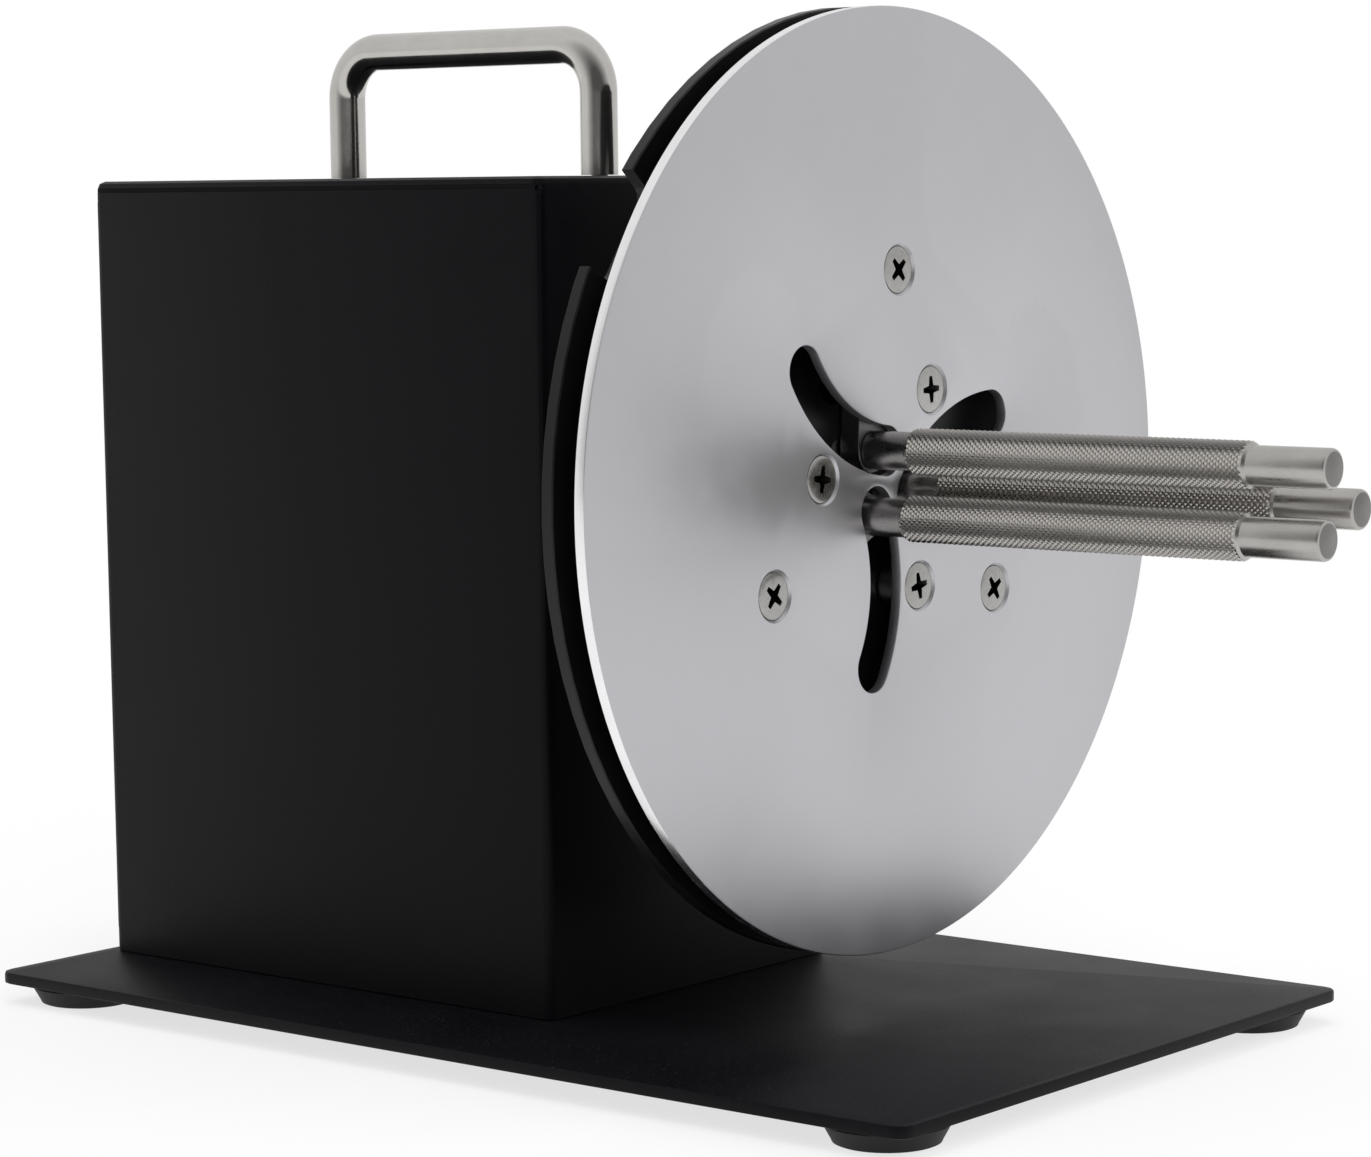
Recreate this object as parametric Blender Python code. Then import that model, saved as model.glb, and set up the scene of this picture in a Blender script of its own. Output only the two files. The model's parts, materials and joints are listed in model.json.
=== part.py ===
"""Label rewinder: a motor box on a base plate turns a reel whose three rods grip the core.

Units are metres and +Z is up. The reel faces -Y. The origin lies on the table under the
middle of the machine, below the centre of its outer box.
Each piece is one object. Moving pieces hang from an empty on the axis they turn about.
"""
import bpy
import bmesh
import math
from mathutils import Matrix, Vector

for old in list(bpy.data.objects):
    bpy.data.objects.remove(old, do_unlink=True)

# Gap left between neighbouring pieces
CLEARANCE = 0.0003

# Front disc and the black adjusting disc behind it
DISC_RADIUS = 0.110
DISC_CHAMFER = 0.0003
FRONT_DISC_THICKNESS = 0.0030
ADJUSTING_DISC_THICKNESS = 0.0032
DISC_STEPS = 80
NOTCH_DEPTH = 0.009
NOTCH_CORNER_RADIUS = 0.003
NOTCH_SPAN_DEG = 13.1
NOTCH_ANGLE_DEG = 148.4
ADJUST_TRAVEL_DEG = 60.0
REEL_REST_TURN_DEG = 3.55

# Swing arms, their pivots and the rods
PIVOT_CIRCLE_RADIUS = 0.04985
PIVOT_POST_RADIUS = 0.005
ARM_THICKNESS = 0.0053
ARM_LENGTH = 0.0420
ARM_BOSS_RADIUS = 0.009
ARM_TIP_RADIUS = 0.0055
ARM_CLOSED_DEG = 5.2
ARM_TRAVEL_DEG = 47.7
CAM_LEVER_LENGTH = 0.025
CAM_PIN_RADIUS = 0.003
TRACK_END_SHARE = 0.02
ROD_SLOT_HALF_WIDTH = 0.00585
ROD_SLOT_EXTRA_DEG = 1.8
ROD_NECK_RADIUS = 0.0045
ROD_KNURL_RADIUS = 0.0055
ROD_STUB_RADIUS = 0.0032
ROD_NECK_REACH = 0.0088
ROD_KNURL_REACH = 0.0995
ROD_REACH = 0.1190
ROD_SHOULDER = 0.0006
ROD_TIP_CHAMFER = 0.0006

# Countersunk screws in the face of the reel
PILLAR_CIRCLE_RADIUS = 0.02668
PILLAR_ANGLE_DEG = 57.25
PILLAR_RADIUS = 0.005
DISC_SCREW_HEAD_RADIUS = 0.0054
DISC_SCREW_SHANK_RADIUS = 0.0030
DISC_SCREW_SINK = 0.0002
DISC_SCREW_RIM = 0.0003
INNER_SCREW_LENGTH = 0.0105
OUTER_SCREW_LENGTH = 0.0080

# Hub, friction ring, shaft and front bearing
FRICTION_RING_THICKNESS = 0.0010
FRICTION_RING_INNER = 0.0330
FRICTION_RING_OUTER = 0.0400
HUB_SPIGOT_RADIUS = 0.0145
HUB_FLANGE_RADIUS = 0.0420
HUB_FLANGE_THICKNESS = 0.0050
HUB_SLEEVE_RADIUS = 0.0160
HUB_SLEEVE_LENGTH = 0.0260
HUB_CHAMFER = 0.0008
SET_SCREW_RADIUS = 0.0020
SET_SCREW_INSET = 0.0080
SHAFT_RADIUS = 0.0050
SHAFT_CHAMFER = 0.0005
SHAFT_ENTRY = 0.0150
BEARING_RADIUS = 0.0130
BEARING_WIDTH = 0.0080
BEARING_BOSS_RADIUS = 0.0170
BEARING_BOSS_LENGTH = 0.0097
BEARING_FLANGE_RADIUS = 0.0290
BEARING_FLANGE_THICKNESS = 0.0050
BEARING_SEAT_LIP = 0.0015
BEARING_SCREW_CIRCLE = 0.0230
BEARING_SCREW_LENGTH = 0.0165

# Sheet metal body
BODY_SETBACK = 0.0610
BODY_WIDTH = 0.1070
BODY_DEPTH = 0.1522
BODY_HEIGHT = 0.1975
SHEET = 0.0020
BODY_BEND_RADIUS = 0.0025
BEND_SHARE = 0.8
SEAM_DROP = 0.0017
SEAM_HEIGHT = 0.0012
SEAM_DEPTH = 0.0010
RELIEF_RADIUS = 0.0012
RELIEF_INSET = 0.0004
FLANGE_WIDTH = 0.0120
BACK_PANEL_THICKNESS = 0.0016
PANEL_MARGIN = 0.0030
VENT_HALF_WIDTH = 0.0015
VENT_LENGTH = 0.0360
VENT_PITCH = 0.0090
VENT_COUNT = 7
VENT_HEIGHT = 0.1500

# Base plate and feet
PLATE_WIDTH = 0.1800
PLATE_DEPTH = 0.2832
PLATE_THICKNESS = 0.0030
PLATE_CORNER_RADIUS = 0.0040
PLATE_EDGE = 0.0005
PLATE_BEHIND_BODY = 0.0018
REEL_ABOVE_PLATE = 0.1257
FOOT_RADIUS = 0.0140
FOOT_TREAD_RADIUS = 0.0122
FOOT_HEIGHT = 0.0048
FOOT_EDGE = 0.0008
FOOT_INSET = 0.0160
FOOT_POCKET_RADIUS = 0.0055
FOOT_POCKET_DEPTH = 0.0030

# Carry handle
HANDLE_BAR_RADIUS = 0.0046
HANDLE_SPACING = 0.0849
HANDLE_AHEAD = 0.0064
HANDLE_HEIGHT = 0.0363
HANDLE_BEND_RADIUS = 0.0116
HANDLE_THREAD_DEPTH = 0.0120

# Gearbox and motor
GEARBOX_RADIUS = 0.0295
GEARBOX_LENGTH = 0.0380
GEARBOX_CHAMFER = 0.0010
MOTOR_RADIUS = 0.0255
MOTOR_LENGTH = 0.0620
MOTOR_CAP_RADIUS = 0.0225
MOTOR_CAP_LENGTH = 0.0070
MOTOR_BUSH_RADIUS = 0.0080
MOTOR_BUSH_LENGTH = 0.0030
MOTOR_TAB = 0.0040
MOTOR_TAB_LENGTH = 0.0080
MOTOR_TAB_THICKNESS = 0.0010
MOTOR_TAB_OFFSET = 0.0140

# Pan head screws and nuts used in several places
PAN_HEAD_RADIUS = 0.0038
PAN_HEAD_HEIGHT = 0.0024
PAN_SHANK_RADIUS = 0.0020
SMALL_HEAD_RADIUS = 0.0028
SMALL_HEAD_HEIGHT = 0.0013
SMALL_SHANK_RADIUS = 0.0015
BODY_SCREW_LENGTH = 0.0080
PANEL_SCREW_LENGTH = 0.0060
HANDLE_SCREW_LENGTH = 0.0120

# Controls on the right side
CONTROL_SETBACK = 0.0450
KNOB_HEIGHT = 0.1560
DIRECTION_HEIGHT = 0.1120
POT_BODY_RADIUS = 0.0083
POT_BODY_LENGTH = 0.0100
POT_BUSH_RADIUS = 0.0035
POT_BUSH_REACH = 0.0060
POT_SHAFT_RADIUS = 0.0030
POT_TAB_LENGTH = 0.0050
POT_TAB_WIDTH = 0.0020
POT_TAB_THICKNESS = 0.0008
POT_NUT_RADIUS = 0.0058
POT_NUT_THICKNESS = 0.0022
KNOB_RADIUS = 0.0115
KNOB_SKIRT_RADIUS = 0.0130
KNOB_SKIRT_LENGTH = 0.0030
KNOB_LENGTH = 0.0150
KNOB_FLUTE_DEPTH = 0.0006
KNOB_FLUTES = 12
KNOB_STANDOFF = 0.0010
KNOB_RECESS_DEPTH = 0.0070
KNOB_RECESS_RADIUS = 0.0075
KNOB_CAP = 0.0020
KNOB_EDGE = 0.0008
KNOB_POINTER_WIDTH = 0.0014
KNOB_POINTER_RISE = 0.0006
ROCKER_RADIUS = 0.0078
ROCKER_CORNER_DEG = 24.0
ROCKER_VALLEY = 0.0016
ROCKER_WIDTH = 0.0090
ROCKER_AXIS_OUT = 0.0009
SWITCH_WALL = 0.0012
SWITCH_BEZEL_LENGTH = 0.0230
SWITCH_BEZEL_WIDTH = 0.0150
SWITCH_BEZEL_THICKNESS = 0.0016
SWITCH_BODY_REACH = 0.0140
SWITCH_TAB_WIDTH = 0.0040
SWITCH_TAB_LENGTH = 0.0060
SWITCH_TAB_THICKNESS = 0.0008
SWITCH_TAB_PITCH = 0.0060

# Power inlet on the back
INLET_HEIGHT = 0.0380
INLET_BEZEL_RADIUS = 0.0075
INLET_BEZEL_THICKNESS = 0.0014
INLET_BARREL_RADIUS = 0.0057
INLET_BARREL_LENGTH = 0.0130
INLET_SOCKET_RADIUS = 0.0029
INLET_SOCKET_DEPTH = 0.0090
INLET_PIN_RADIUS = 0.0010

# Control board in the body
BOARD_SIDE_GAP = 0.0045
BOARD_DEPTH = 0.0600
BOARD_THICKNESS = 0.0016
BOARD_FRONT_GAP = 0.0160
BOARD_HOLE_INSET = 0.0050
TRAY_THICKNESS = 0.0020
TRAY_POST_RADIUS = 0.0032
TRAY_POST_HEIGHT = 0.0080
TRAY_PIN_RADIUS = 0.0014
TRAY_PIN_RISE = 0.0010
CAPACITOR_RADIUS = 0.0080
CAPACITOR_HEIGHT = 0.0220
TERMINAL_WIDTH = 0.0300
TERMINAL_DEPTH = 0.0100
TERMINAL_HEIGHT = 0.0110
TERMINAL_SLOT = 0.0040
TERMINAL_COUNT = 5

# Number of sides on round pieces
ROUND_STEPS = 28
ROD_STEPS = 20
SMALL_STEPS = 12
TINY_STEPS = 8
ARC_STEPS = 10
CAP_STEPS = 6
BEND_STEPS = 6
CORNER_STEPS = 3

# Stations along the reel's axis, counted back from the face of the front disc
arm_front = FRONT_DISC_THICKNESS + CLEARANCE
arm_back = arm_front + ARM_THICKNESS
adjust_front = arm_back + CLEARANCE
adjust_back = adjust_front + ADJUSTING_DISC_THICKNESS
ring_front = adjust_back + CLEARANCE
ring_back = ring_front + FRICTION_RING_THICKNESS
hub_front = ring_back + CLEARANCE
hub_back = hub_front + HUB_FLANGE_THICKNESS
sleeve_back = hub_back + HUB_SLEEVE_LENGTH
bearing_flange_back = BODY_SETBACK - CLEARANCE
bearing_flange_front = bearing_flange_back - BEARING_FLANGE_THICKNESS
bearing_boss_front = bearing_flange_front - BEARING_BOSS_LENGTH
gearbox_front = BODY_SETBACK + SHEET + CLEARANCE
gearbox_back = gearbox_front + GEARBOX_LENGTH

# Levels above the table
plate_bottom = FOOT_HEIGHT + CLEARANCE
plate_top = plate_bottom + PLATE_THICKNESS
body_bottom = plate_top + CLEARANCE
body_top = body_bottom + BODY_HEIGHT
reel_height = plate_top + REEL_ABOVE_PLATE
inner_bottom = body_bottom + SHEET
inner_top = body_top - SHEET

# Distances from front to back
plate_back_from_face = BODY_SETBACK + BODY_DEPTH + PLATE_BEHIND_BODY
total_depth = ROD_REACH + plate_back_from_face
face_y = ROD_REACH - total_depth / 2
plate_back = total_depth / 2
plate_middle = plate_back - PLATE_DEPTH / 2
body_front = face_y + BODY_SETBACK
body_back = body_front + BODY_DEPTH
shell_back = body_back - BACK_PANEL_THICKNESS - CLEARANCE
shell_middle = (body_front + shell_back) / 2
inner_back = shell_back - SHEET
half_body = BODY_WIDTH / 2
inner_half = half_body - SHEET
control_y = body_front + CONTROL_SETBACK


def material(name, colour, roughness, metallic):
    """Make a plain material with one colour."""
    made = bpy.data.materials.new(name)
    made.use_nodes = True
    shader = made.node_tree.nodes["Principled BSDF"]
    shader.inputs["Base Color"].default_value = (*colour, 1.0)
    shader.inputs["Roughness"].default_value = roughness
    shader.inputs["Metallic"].default_value = metallic
    made.diffuse_color = (*colour, 1.0)
    return made


BLACK_COAT = (0.022, 0.022, 0.024), 0.45, 0.0
BLACK_ANODISED = (0.018, 0.018, 0.020), 0.38, 0.6
SATIN_ALUMINIUM = (0.62, 0.62, 0.64), 0.42, 1.0
STAINLESS = (0.55, 0.53, 0.50), 0.25, 1.0
POLISHED = (0.68, 0.67, 0.66), 0.10, 1.0
ZINC = (0.52, 0.52, 0.50), 0.35, 1.0
GREY_STEEL = (0.35, 0.35, 0.36), 0.40, 1.0
BLACK_RUBBER = (0.020, 0.020, 0.020), 0.80, 0.0
BLACK_PLASTIC = (0.025, 0.025, 0.027), 0.40, 0.0
BOARD_GREEN = (0.03, 0.16, 0.07), 0.50, 0.0
TERMINAL_GREEN = (0.06, 0.30, 0.12), 0.50, 0.0
FELT = (0.10, 0.10, 0.11), 0.90, 0.0


def new():
    """Start an empty working mesh."""
    return bmesh.new()


def add(name, bm, look, parent=None, at=(0, 0, 0), smooth=True):
    """Turn a working mesh into a named object with its own material."""
    bmesh.ops.remove_doubles(bm, verts=bm.verts, dist=CLEARANCE / 300)
    bmesh.ops.recalc_face_normals(bm, faces=bm.faces)
    mesh = bpy.data.meshes.new(name)
    bm.to_mesh(mesh)
    bm.free()
    piece = bpy.data.objects.new(name, mesh)
    bpy.context.scene.collection.objects.link(piece)
    piece.parent = parent
    piece.location = at
    if look is not None:
        mesh.materials.append(material(name + "_finish", *look))
    if smooth:
        mesh.shade_smooth()
        mesh.set_sharp_from_angle(angle=math.radians(35))
    return piece


def axis_point(name, at, turn_y=0.0, parent=None):
    """Place an empty on the axis of a joint."""
    point = bpy.data.objects.new(name, None)
    bpy.context.scene.collection.objects.link(point)
    point.parent = parent
    point.location = at
    point.rotation_euler = (0, turn_y, 0)
    return point


def combine(piece, tool, operation):
    """Cut the tool's shape out of a piece, or fuse it on."""
    tool.hide_render = True
    tool.display_type = "WIRE"
    step = piece.modifiers.new(tool.name, "BOOLEAN")
    step.operation = operation
    step.solver = "EXACT"
    step.object = tool


def cut(piece, tool):
    """Take the tool's shape away from a piece."""
    combine(piece, tool, "DIFFERENCE")


def join(piece, tool):
    """Fuse the tool's shape with a piece."""
    combine(piece, tool, "UNION")


def polar(radius, degrees):
    """Point on a circle in the plane of the reel, as (x, z), seen from the front."""
    return radius * math.cos(math.radians(degrees)), radius * math.sin(math.radians(degrees))


def turned_about_y(x, z, degrees):
    """Turn a point about +Y, which is clockwise as seen from the front."""
    c = math.cos(math.radians(degrees))
    s = math.sin(math.radians(degrees))
    return x * c + z * s, z * c - x * s


AXES = {"X": (1, 0, 0), "Y": (0, 1, 0), "Z": (0, 0, 1)}


def place(axis, radius, along, x, z):
    """Put a profile point (radius, along) beside the chosen axis."""
    if axis == "Y":
        return x + radius, along, z
    if axis == "Z":
        return x + radius, z, along
    return along, x + radius, z


def turn(bm, profile, axis="Y", x=0.0, z=0.0, steps=ROUND_STEPS, closed=False):
    """Spin a profile of (radius, along) points round an axis into a solid.

    x and z place the axis: across and up for Y, X and Y for Z, Y and Z for X.
    """
    verts = [bm.verts.new(place(axis, radius, along, x, z)) for radius, along in profile]
    edges = [bm.edges.new(pair) for pair in zip(verts, verts[1:])]
    if closed:
        edges.append(bm.edges.new((verts[-1], verts[0])))
    centre = place(axis, 0.0, 0.0, x, z)
    bmesh.ops.spin(bm, geom=verts + edges, cent=centre, axis=AXES[axis],
                   angle=math.tau, steps=steps, use_merge=True)
    bmesh.ops.remove_doubles(bm, verts=bm.verts, dist=CLEARANCE / 300)
    return bm


def slab(bm, outline, low, high, across="XZ"):
    """Extrude a closed outline between two levels."""
    def corner(a, b, level):
        if across == "XZ":
            return a, level, b
        if across == "XY":
            return a, b, level
        return level, a, b
    face = bm.faces.new([bm.verts.new(corner(a, b, low)) for a, b in outline])
    grown = bmesh.ops.extrude_face_region(bm, geom=[face])
    lift = Vector(corner(0, 0, high)) - Vector(corner(0, 0, low))
    moved = [item for item in grown["geom"] if isinstance(item, bmesh.types.BMVert)]
    bmesh.ops.translate(bm, verts=moved, vec=lift)
    return bm


def box(bm, low, high):
    """Add a block between two opposite corners."""
    size = [b - a for a, b in zip(low, high)]
    middle = [(a + b) / 2 for a, b in zip(low, high)]
    shape = Matrix.Translation(middle) @ Matrix.Diagonal((*size, 1.0))
    bmesh.ops.create_cube(bm, size=1.0, matrix=shape)
    return bm


def circle(x, z, radius, steps, start=0.0, sweep=360.0, ends=False):
    """Points on a circle, or on an arc with both its ends, as (x, z)."""
    points = []
    for step in range(steps + 1 if ends else steps):
        a, b = polar(radius, start + sweep * step / steps)
        points.append((x + a, z + b))
    return points


def hull(points):
    """Outline of the tightest convex shape round some points."""
    def half(run):
        chain = []
        for x, z in run:
            while len(chain) > 1:
                (ax, az), (bx, bz) = chain[-2], chain[-1]
                if (bx - ax) * (z - az) - (bz - az) * (x - ax) > 0:
                    break
                chain.pop()
            chain.append((x, z))
        return chain[:-1]
    ordered = sorted(set(points))
    return half(ordered) + half(ordered[::-1])


def track(path, half_width):
    """Outline of a slot of constant width that follows a path, with round ends."""
    left, right = [], []
    last = len(path) - 1
    for index, (x, z) in enumerate(path):
        ax, az = path[max(index - 1, 0)]
        bx, bz = path[min(index + 1, last)]
        length = math.hypot(bx - ax, bz - az)
        nx, nz = (az - bz) / length * half_width, (bx - ax) / length * half_width
        left.append((x + nx, z + nz))
        right.append((x - nx, z - nz))

    def cap(centre, edge):
        start = math.degrees(math.atan2(edge[1] - centre[1], edge[0] - centre[0]))
        return circle(*centre, half_width, CAP_STEPS, start, -180.0, ends=True)[1:-1]
    return left + cap(path[-1], left[-1]) + right[::-1] + cap(path[0], right[0])


def rounded_rectangle(width, depth, radius, x=0.0, y=0.0):
    """Outline of a rectangle with round corners."""
    points = []
    for quarter, (sx, sy) in enumerate(((1, 1), (-1, 1), (-1, -1), (1, -1))):
        cx = x + sx * (width / 2 - radius)
        cy = y + sy * (depth / 2 - radius)
        points += circle(cx, cy, radius, CORNER_STEPS, 90.0 * quarter, 90.0, ends=True)
    return points


def bar(low, high, radius, chamfer=0.0):
    """Profile of a plain round bar between two levels, with or without chamfered ends."""
    if chamfer <= 0:
        return [(0.0, low), (radius, low), (radius, high), (0.0, high)]
    return [(0.0, low), (radius - chamfer, low), (radius, low + chamfer),
            (radius, high - chamfer), (radius - chamfer, high), (0.0, high)]


def ring(inner, outer, low, high):
    """Profile of a flat ring."""
    return [(inner, low), (outer, low), (outer, high), (inner, high)]


def pan_screw(base, length, head_radius, head_height, shank_radius, axis, x, z, way=1):
    """Pan head screw. Its head stands on base and its shank runs the other way."""
    edge = head_height / 3
    return turn(new(), [(0.0, base + way * head_height),
                        (head_radius - edge, base + way * head_height),
                        (head_radius, base + way * (head_height - edge)),
                        (head_radius, base), (shank_radius, base),
                        (shank_radius, base - way * length), (0.0, base - way * length)],
                axis, x, z, TINY_STEPS)


thirds = (0, 120, 240)
reel_point = (0, face_y, reel_height)
reel_axis = axis_point("reel_axis", reel_point, math.radians(REEL_REST_TURN_DEG))
past = FRONT_DISC_THICKNESS

# Front disc: a plate with an arc slot round each arm's pivot and six countersunk holes
bm = turn(new(), [(0.0, 0.0), (DISC_RADIUS - DISC_CHAMFER, 0.0), (DISC_RADIUS, DISC_CHAMFER),
                  (DISC_RADIUS, FRONT_DISC_THICKNESS - DISC_CHAMFER),
                  (DISC_RADIUS - DISC_CHAMFER, FRONT_DISC_THICKNESS),
                  (0.0, FRONT_DISC_THICKNESS)], steps=DISC_STEPS)
front_disc = add("front_disc", bm, SATIN_ALUMINIUM, reel_axis)


def rod_centre(turned_deg, third):
    """Where a rod's axis stands in the reel when its arm has swung open by an angle."""
    x, z = turned_about_y(0.0, -ARM_LENGTH, ARM_CLOSED_DEG + turned_deg)
    return turned_about_y(x, z + PIVOT_CIRCLE_RADIUS, -third)


bm = new()
slot_span = ARM_TRAVEL_DEG + 2 * ROD_SLOT_EXTRA_DEG
for third in thirds:
    path = [rod_centre(slot_span * step / ARC_STEPS - ROD_SLOT_EXTRA_DEG, third)
            for step in range(ARC_STEPS + 1)]
    slab(bm, track(path, ROD_SLOT_HALF_WIDTH), -past, 2 * past)
cut(front_disc, add("rod_slots", bm, None, reel_axis))

pillar_points = [polar(PILLAR_CIRCLE_RADIUS, PILLAR_ANGLE_DEG + third) for third in thirds]
pivot_points = [polar(PIVOT_CIRCLE_RADIUS, 90 + third) for third in thirds]
shank_hole = DISC_SCREW_SHANK_RADIUS + CLEARANCE
sink_radius = DISC_SCREW_HEAD_RADIUS + DISC_SCREW_RIM
bm = new()
for x, z in pillar_points + pivot_points:
    turn(bm, [(0.0, -past), (sink_radius + past, -past), (sink_radius, 0.0),
              (shank_hole, sink_radius - shank_hole), (shank_hole, 2 * past), (0.0, 2 * past)],
         x=x, z=z, steps=SMALL_STEPS)
cut(front_disc, add("sunk_holes", bm, None, reel_axis))


def sunk_screws(name, points, length):
    """Countersunk screws whose heads lie just under the disc's face."""
    cone = DISC_SCREW_SINK + DISC_SCREW_HEAD_RADIUS - DISC_SCREW_SHANK_RADIUS
    for number, (x, z) in enumerate(points, start=1):
        screw = turn(new(), [(0.0, DISC_SCREW_SINK), (DISC_SCREW_HEAD_RADIUS, DISC_SCREW_SINK),
                             (DISC_SCREW_SHANK_RADIUS, cone), (DISC_SCREW_SHANK_RADIUS, length),
                             (0.0, length)], x=x, z=z, steps=SMALL_STEPS)
        add("%s_%d" % (name, number), screw, ZINC, reel_axis)


sunk_screws("inner_disc_screw", pillar_points, INNER_SCREW_LENGTH)
sunk_screws("outer_disc_screw", pivot_points, OUTER_SCREW_LENGTH)

# Pivot posts: sleeves on the outer screws, on which the arms swing
for number, (x, z) in enumerate(pivot_points, start=1):
    bm = turn(new(), ring(shank_hole, PIVOT_POST_RADIUS, arm_front, arm_back),
              x=x, z=z, steps=SMALL_STEPS, closed=True)
    add("pivot_post_%d" % number, bm, STAINLESS, reel_axis)

# Hub: a spigot centres the adjusting disc, three pillars carry the front disc, and the
# sleeve grips the shaft
spigot_front = adjust_front + CLEARANCE
bore = SHAFT_RADIUS + CLEARANCE
bm = turn(new(), [(0.0, spigot_front), (HUB_SPIGOT_RADIUS, spigot_front),
                  (HUB_SPIGOT_RADIUS, hub_front), (HUB_FLANGE_RADIUS, hub_front),
                  (HUB_FLANGE_RADIUS, hub_back - HUB_CHAMFER),
                  (HUB_FLANGE_RADIUS - HUB_CHAMFER, hub_back), (HUB_SLEEVE_RADIUS, hub_back),
                  (HUB_SLEEVE_RADIUS, sleeve_back - HUB_CHAMFER),
                  (HUB_SLEEVE_RADIUS - HUB_CHAMFER, sleeve_back), (bore, sleeve_back),
                  (bore, hub_front), (0.0, hub_front)])
reel_hub = add("reel_hub", bm, SATIN_ALUMINIUM, reel_axis)
bm = new()
for x, z in pillar_points:
    turn(bm, bar(arm_front, hub_front + HUB_CHAMFER, PILLAR_RADIUS), x=x, z=z, steps=SMALL_STEPS)
join(reel_hub, add("hub_pillars", bm, None, reel_axis))
set_screw_y = sleeve_back - SET_SCREW_INSET
bm = new()
for x, z in pillar_points:
    turn(bm, bar(0.0, INNER_SCREW_LENGTH + CLEARANCE, shank_hole), x=x, z=z, steps=SMALL_STEPS)
turn(bm, bar(SHAFT_RADIUS, 2 * HUB_SLEEVE_RADIUS, SET_SCREW_RADIUS + CLEARANCE), "Z",
     0.0, set_screw_y, TINY_STEPS)
cut(reel_hub, add("hub_holes", bm, None, reel_axis))
bm = turn(new(), bar(bore, HUB_SLEEVE_RADIUS - HUB_CHAMFER, SET_SCREW_RADIUS), "Z",
          0.0, set_screw_y, TINY_STEPS)
add("hub_set_screw", bm, BLACK_ANODISED, reel_axis)

bm = turn(new(), ring(FRICTION_RING_INNER, FRICTION_RING_OUTER, ring_front, ring_back),
          closed=True)
add("friction_ring", bm, FELT, reel_axis)

shaft_back = gearbox_front + SHAFT_ENTRY
bm = turn(new(), bar(hub_front + CLEARANCE, shaft_back, SHAFT_RADIUS, SHAFT_CHAMFER),
          steps=SMALL_STEPS)
add("drive_shaft", bm, STAINLESS, reel_axis)

# Adjusting disc: curved tracks drive the cam pins, arcs clear the pillars, notches take a finger
adjuster_axis = axis_point("adjuster_axis", (0, 0, 0), 0.0, reel_axis)
spigot_bore = HUB_SPIGOT_RADIUS + CLEARANCE
bm = turn(new(), [(spigot_bore, adjust_front), (DISC_RADIUS - DISC_CHAMFER, adjust_front),
                  (DISC_RADIUS, adjust_front + DISC_CHAMFER),
                  (DISC_RADIUS, adjust_back - DISC_CHAMFER),
                  (DISC_RADIUS - DISC_CHAMFER, adjust_back), (spigot_bore, adjust_back)],
          steps=DISC_STEPS, closed=True)
adjusting_disc = add("adjusting_disc", bm, BLACK_ANODISED, adjuster_axis)


def pin_centre(share, third):
    """Where a cam pin stands in the adjusting disc when the rods are open by a share.

    The pin swings round its arm's pivot while the disc turns under it, so a track along
    this path moves the arms at a constant ratio to the disc.
    """
    x, z = turned_about_y(0.0, CAM_LEVER_LENGTH, ARM_CLOSED_DEG + ARM_TRAVEL_DEG * share)
    return turned_about_y(x, z + PIVOT_CIRCLE_RADIUS, -third - ADJUST_TRAVEL_DEG * share)


bm = new()
track_span_share = 1 + 2 * TRACK_END_SHARE
for third in thirds:
    path = [pin_centre(track_span_share * step / ARC_STEPS - TRACK_END_SHARE, third)
            for step in range(ARC_STEPS + 1)]
    slab(bm, track(path, CAM_PIN_RADIUS + CLEARANCE), adjust_front - past, adjust_back + past)
    path = circle(0.0, 0.0, PILLAR_CIRCLE_RADIUS, ARC_STEPS,
                  PILLAR_ANGLE_DEG + third - TRACK_END_SHARE * ADJUST_TRAVEL_DEG,
                  track_span_share * ADJUST_TRAVEL_DEG, ends=True)
    slab(bm, track(path, PILLAR_RADIUS + CLEARANCE), adjust_front - past, adjust_back + past)
cut(adjusting_disc, add("disc_tracks", bm, None, adjuster_axis))

bm = new()
notch_floor = DISC_RADIUS - NOTCH_DEPTH
notch_half = NOTCH_SPAN_DEG / 2
corner_centre = notch_floor + NOTCH_CORNER_RADIUS
corner_deg = math.degrees(NOTCH_CORNER_RADIUS / corner_centre)
notch_open = DISC_RADIUS + NOTCH_DEPTH
for third in thirds:
    middle = NOTCH_ANGLE_DEG + third
    low_corner = polar(corner_centre, middle - notch_half + corner_deg)
    high_corner = polar(corner_centre, middle + notch_half - corner_deg)
    outline = circle(*low_corner, NOTCH_CORNER_RADIUS, CORNER_STEPS, middle - notch_half - 90, -90.0,
                     ends=True)
    outline += circle(*high_corner, NOTCH_CORNER_RADIUS, CORNER_STEPS, middle + notch_half + 180, -90.0,
                      ends=True)
    outline += [polar(notch_open, middle + notch_half), polar(notch_open, middle - notch_half)]
    slab(bm, outline, adjust_front - past, adjust_back + past)
cut(adjusting_disc, add("finger_notches", bm, None, adjuster_axis))

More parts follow.
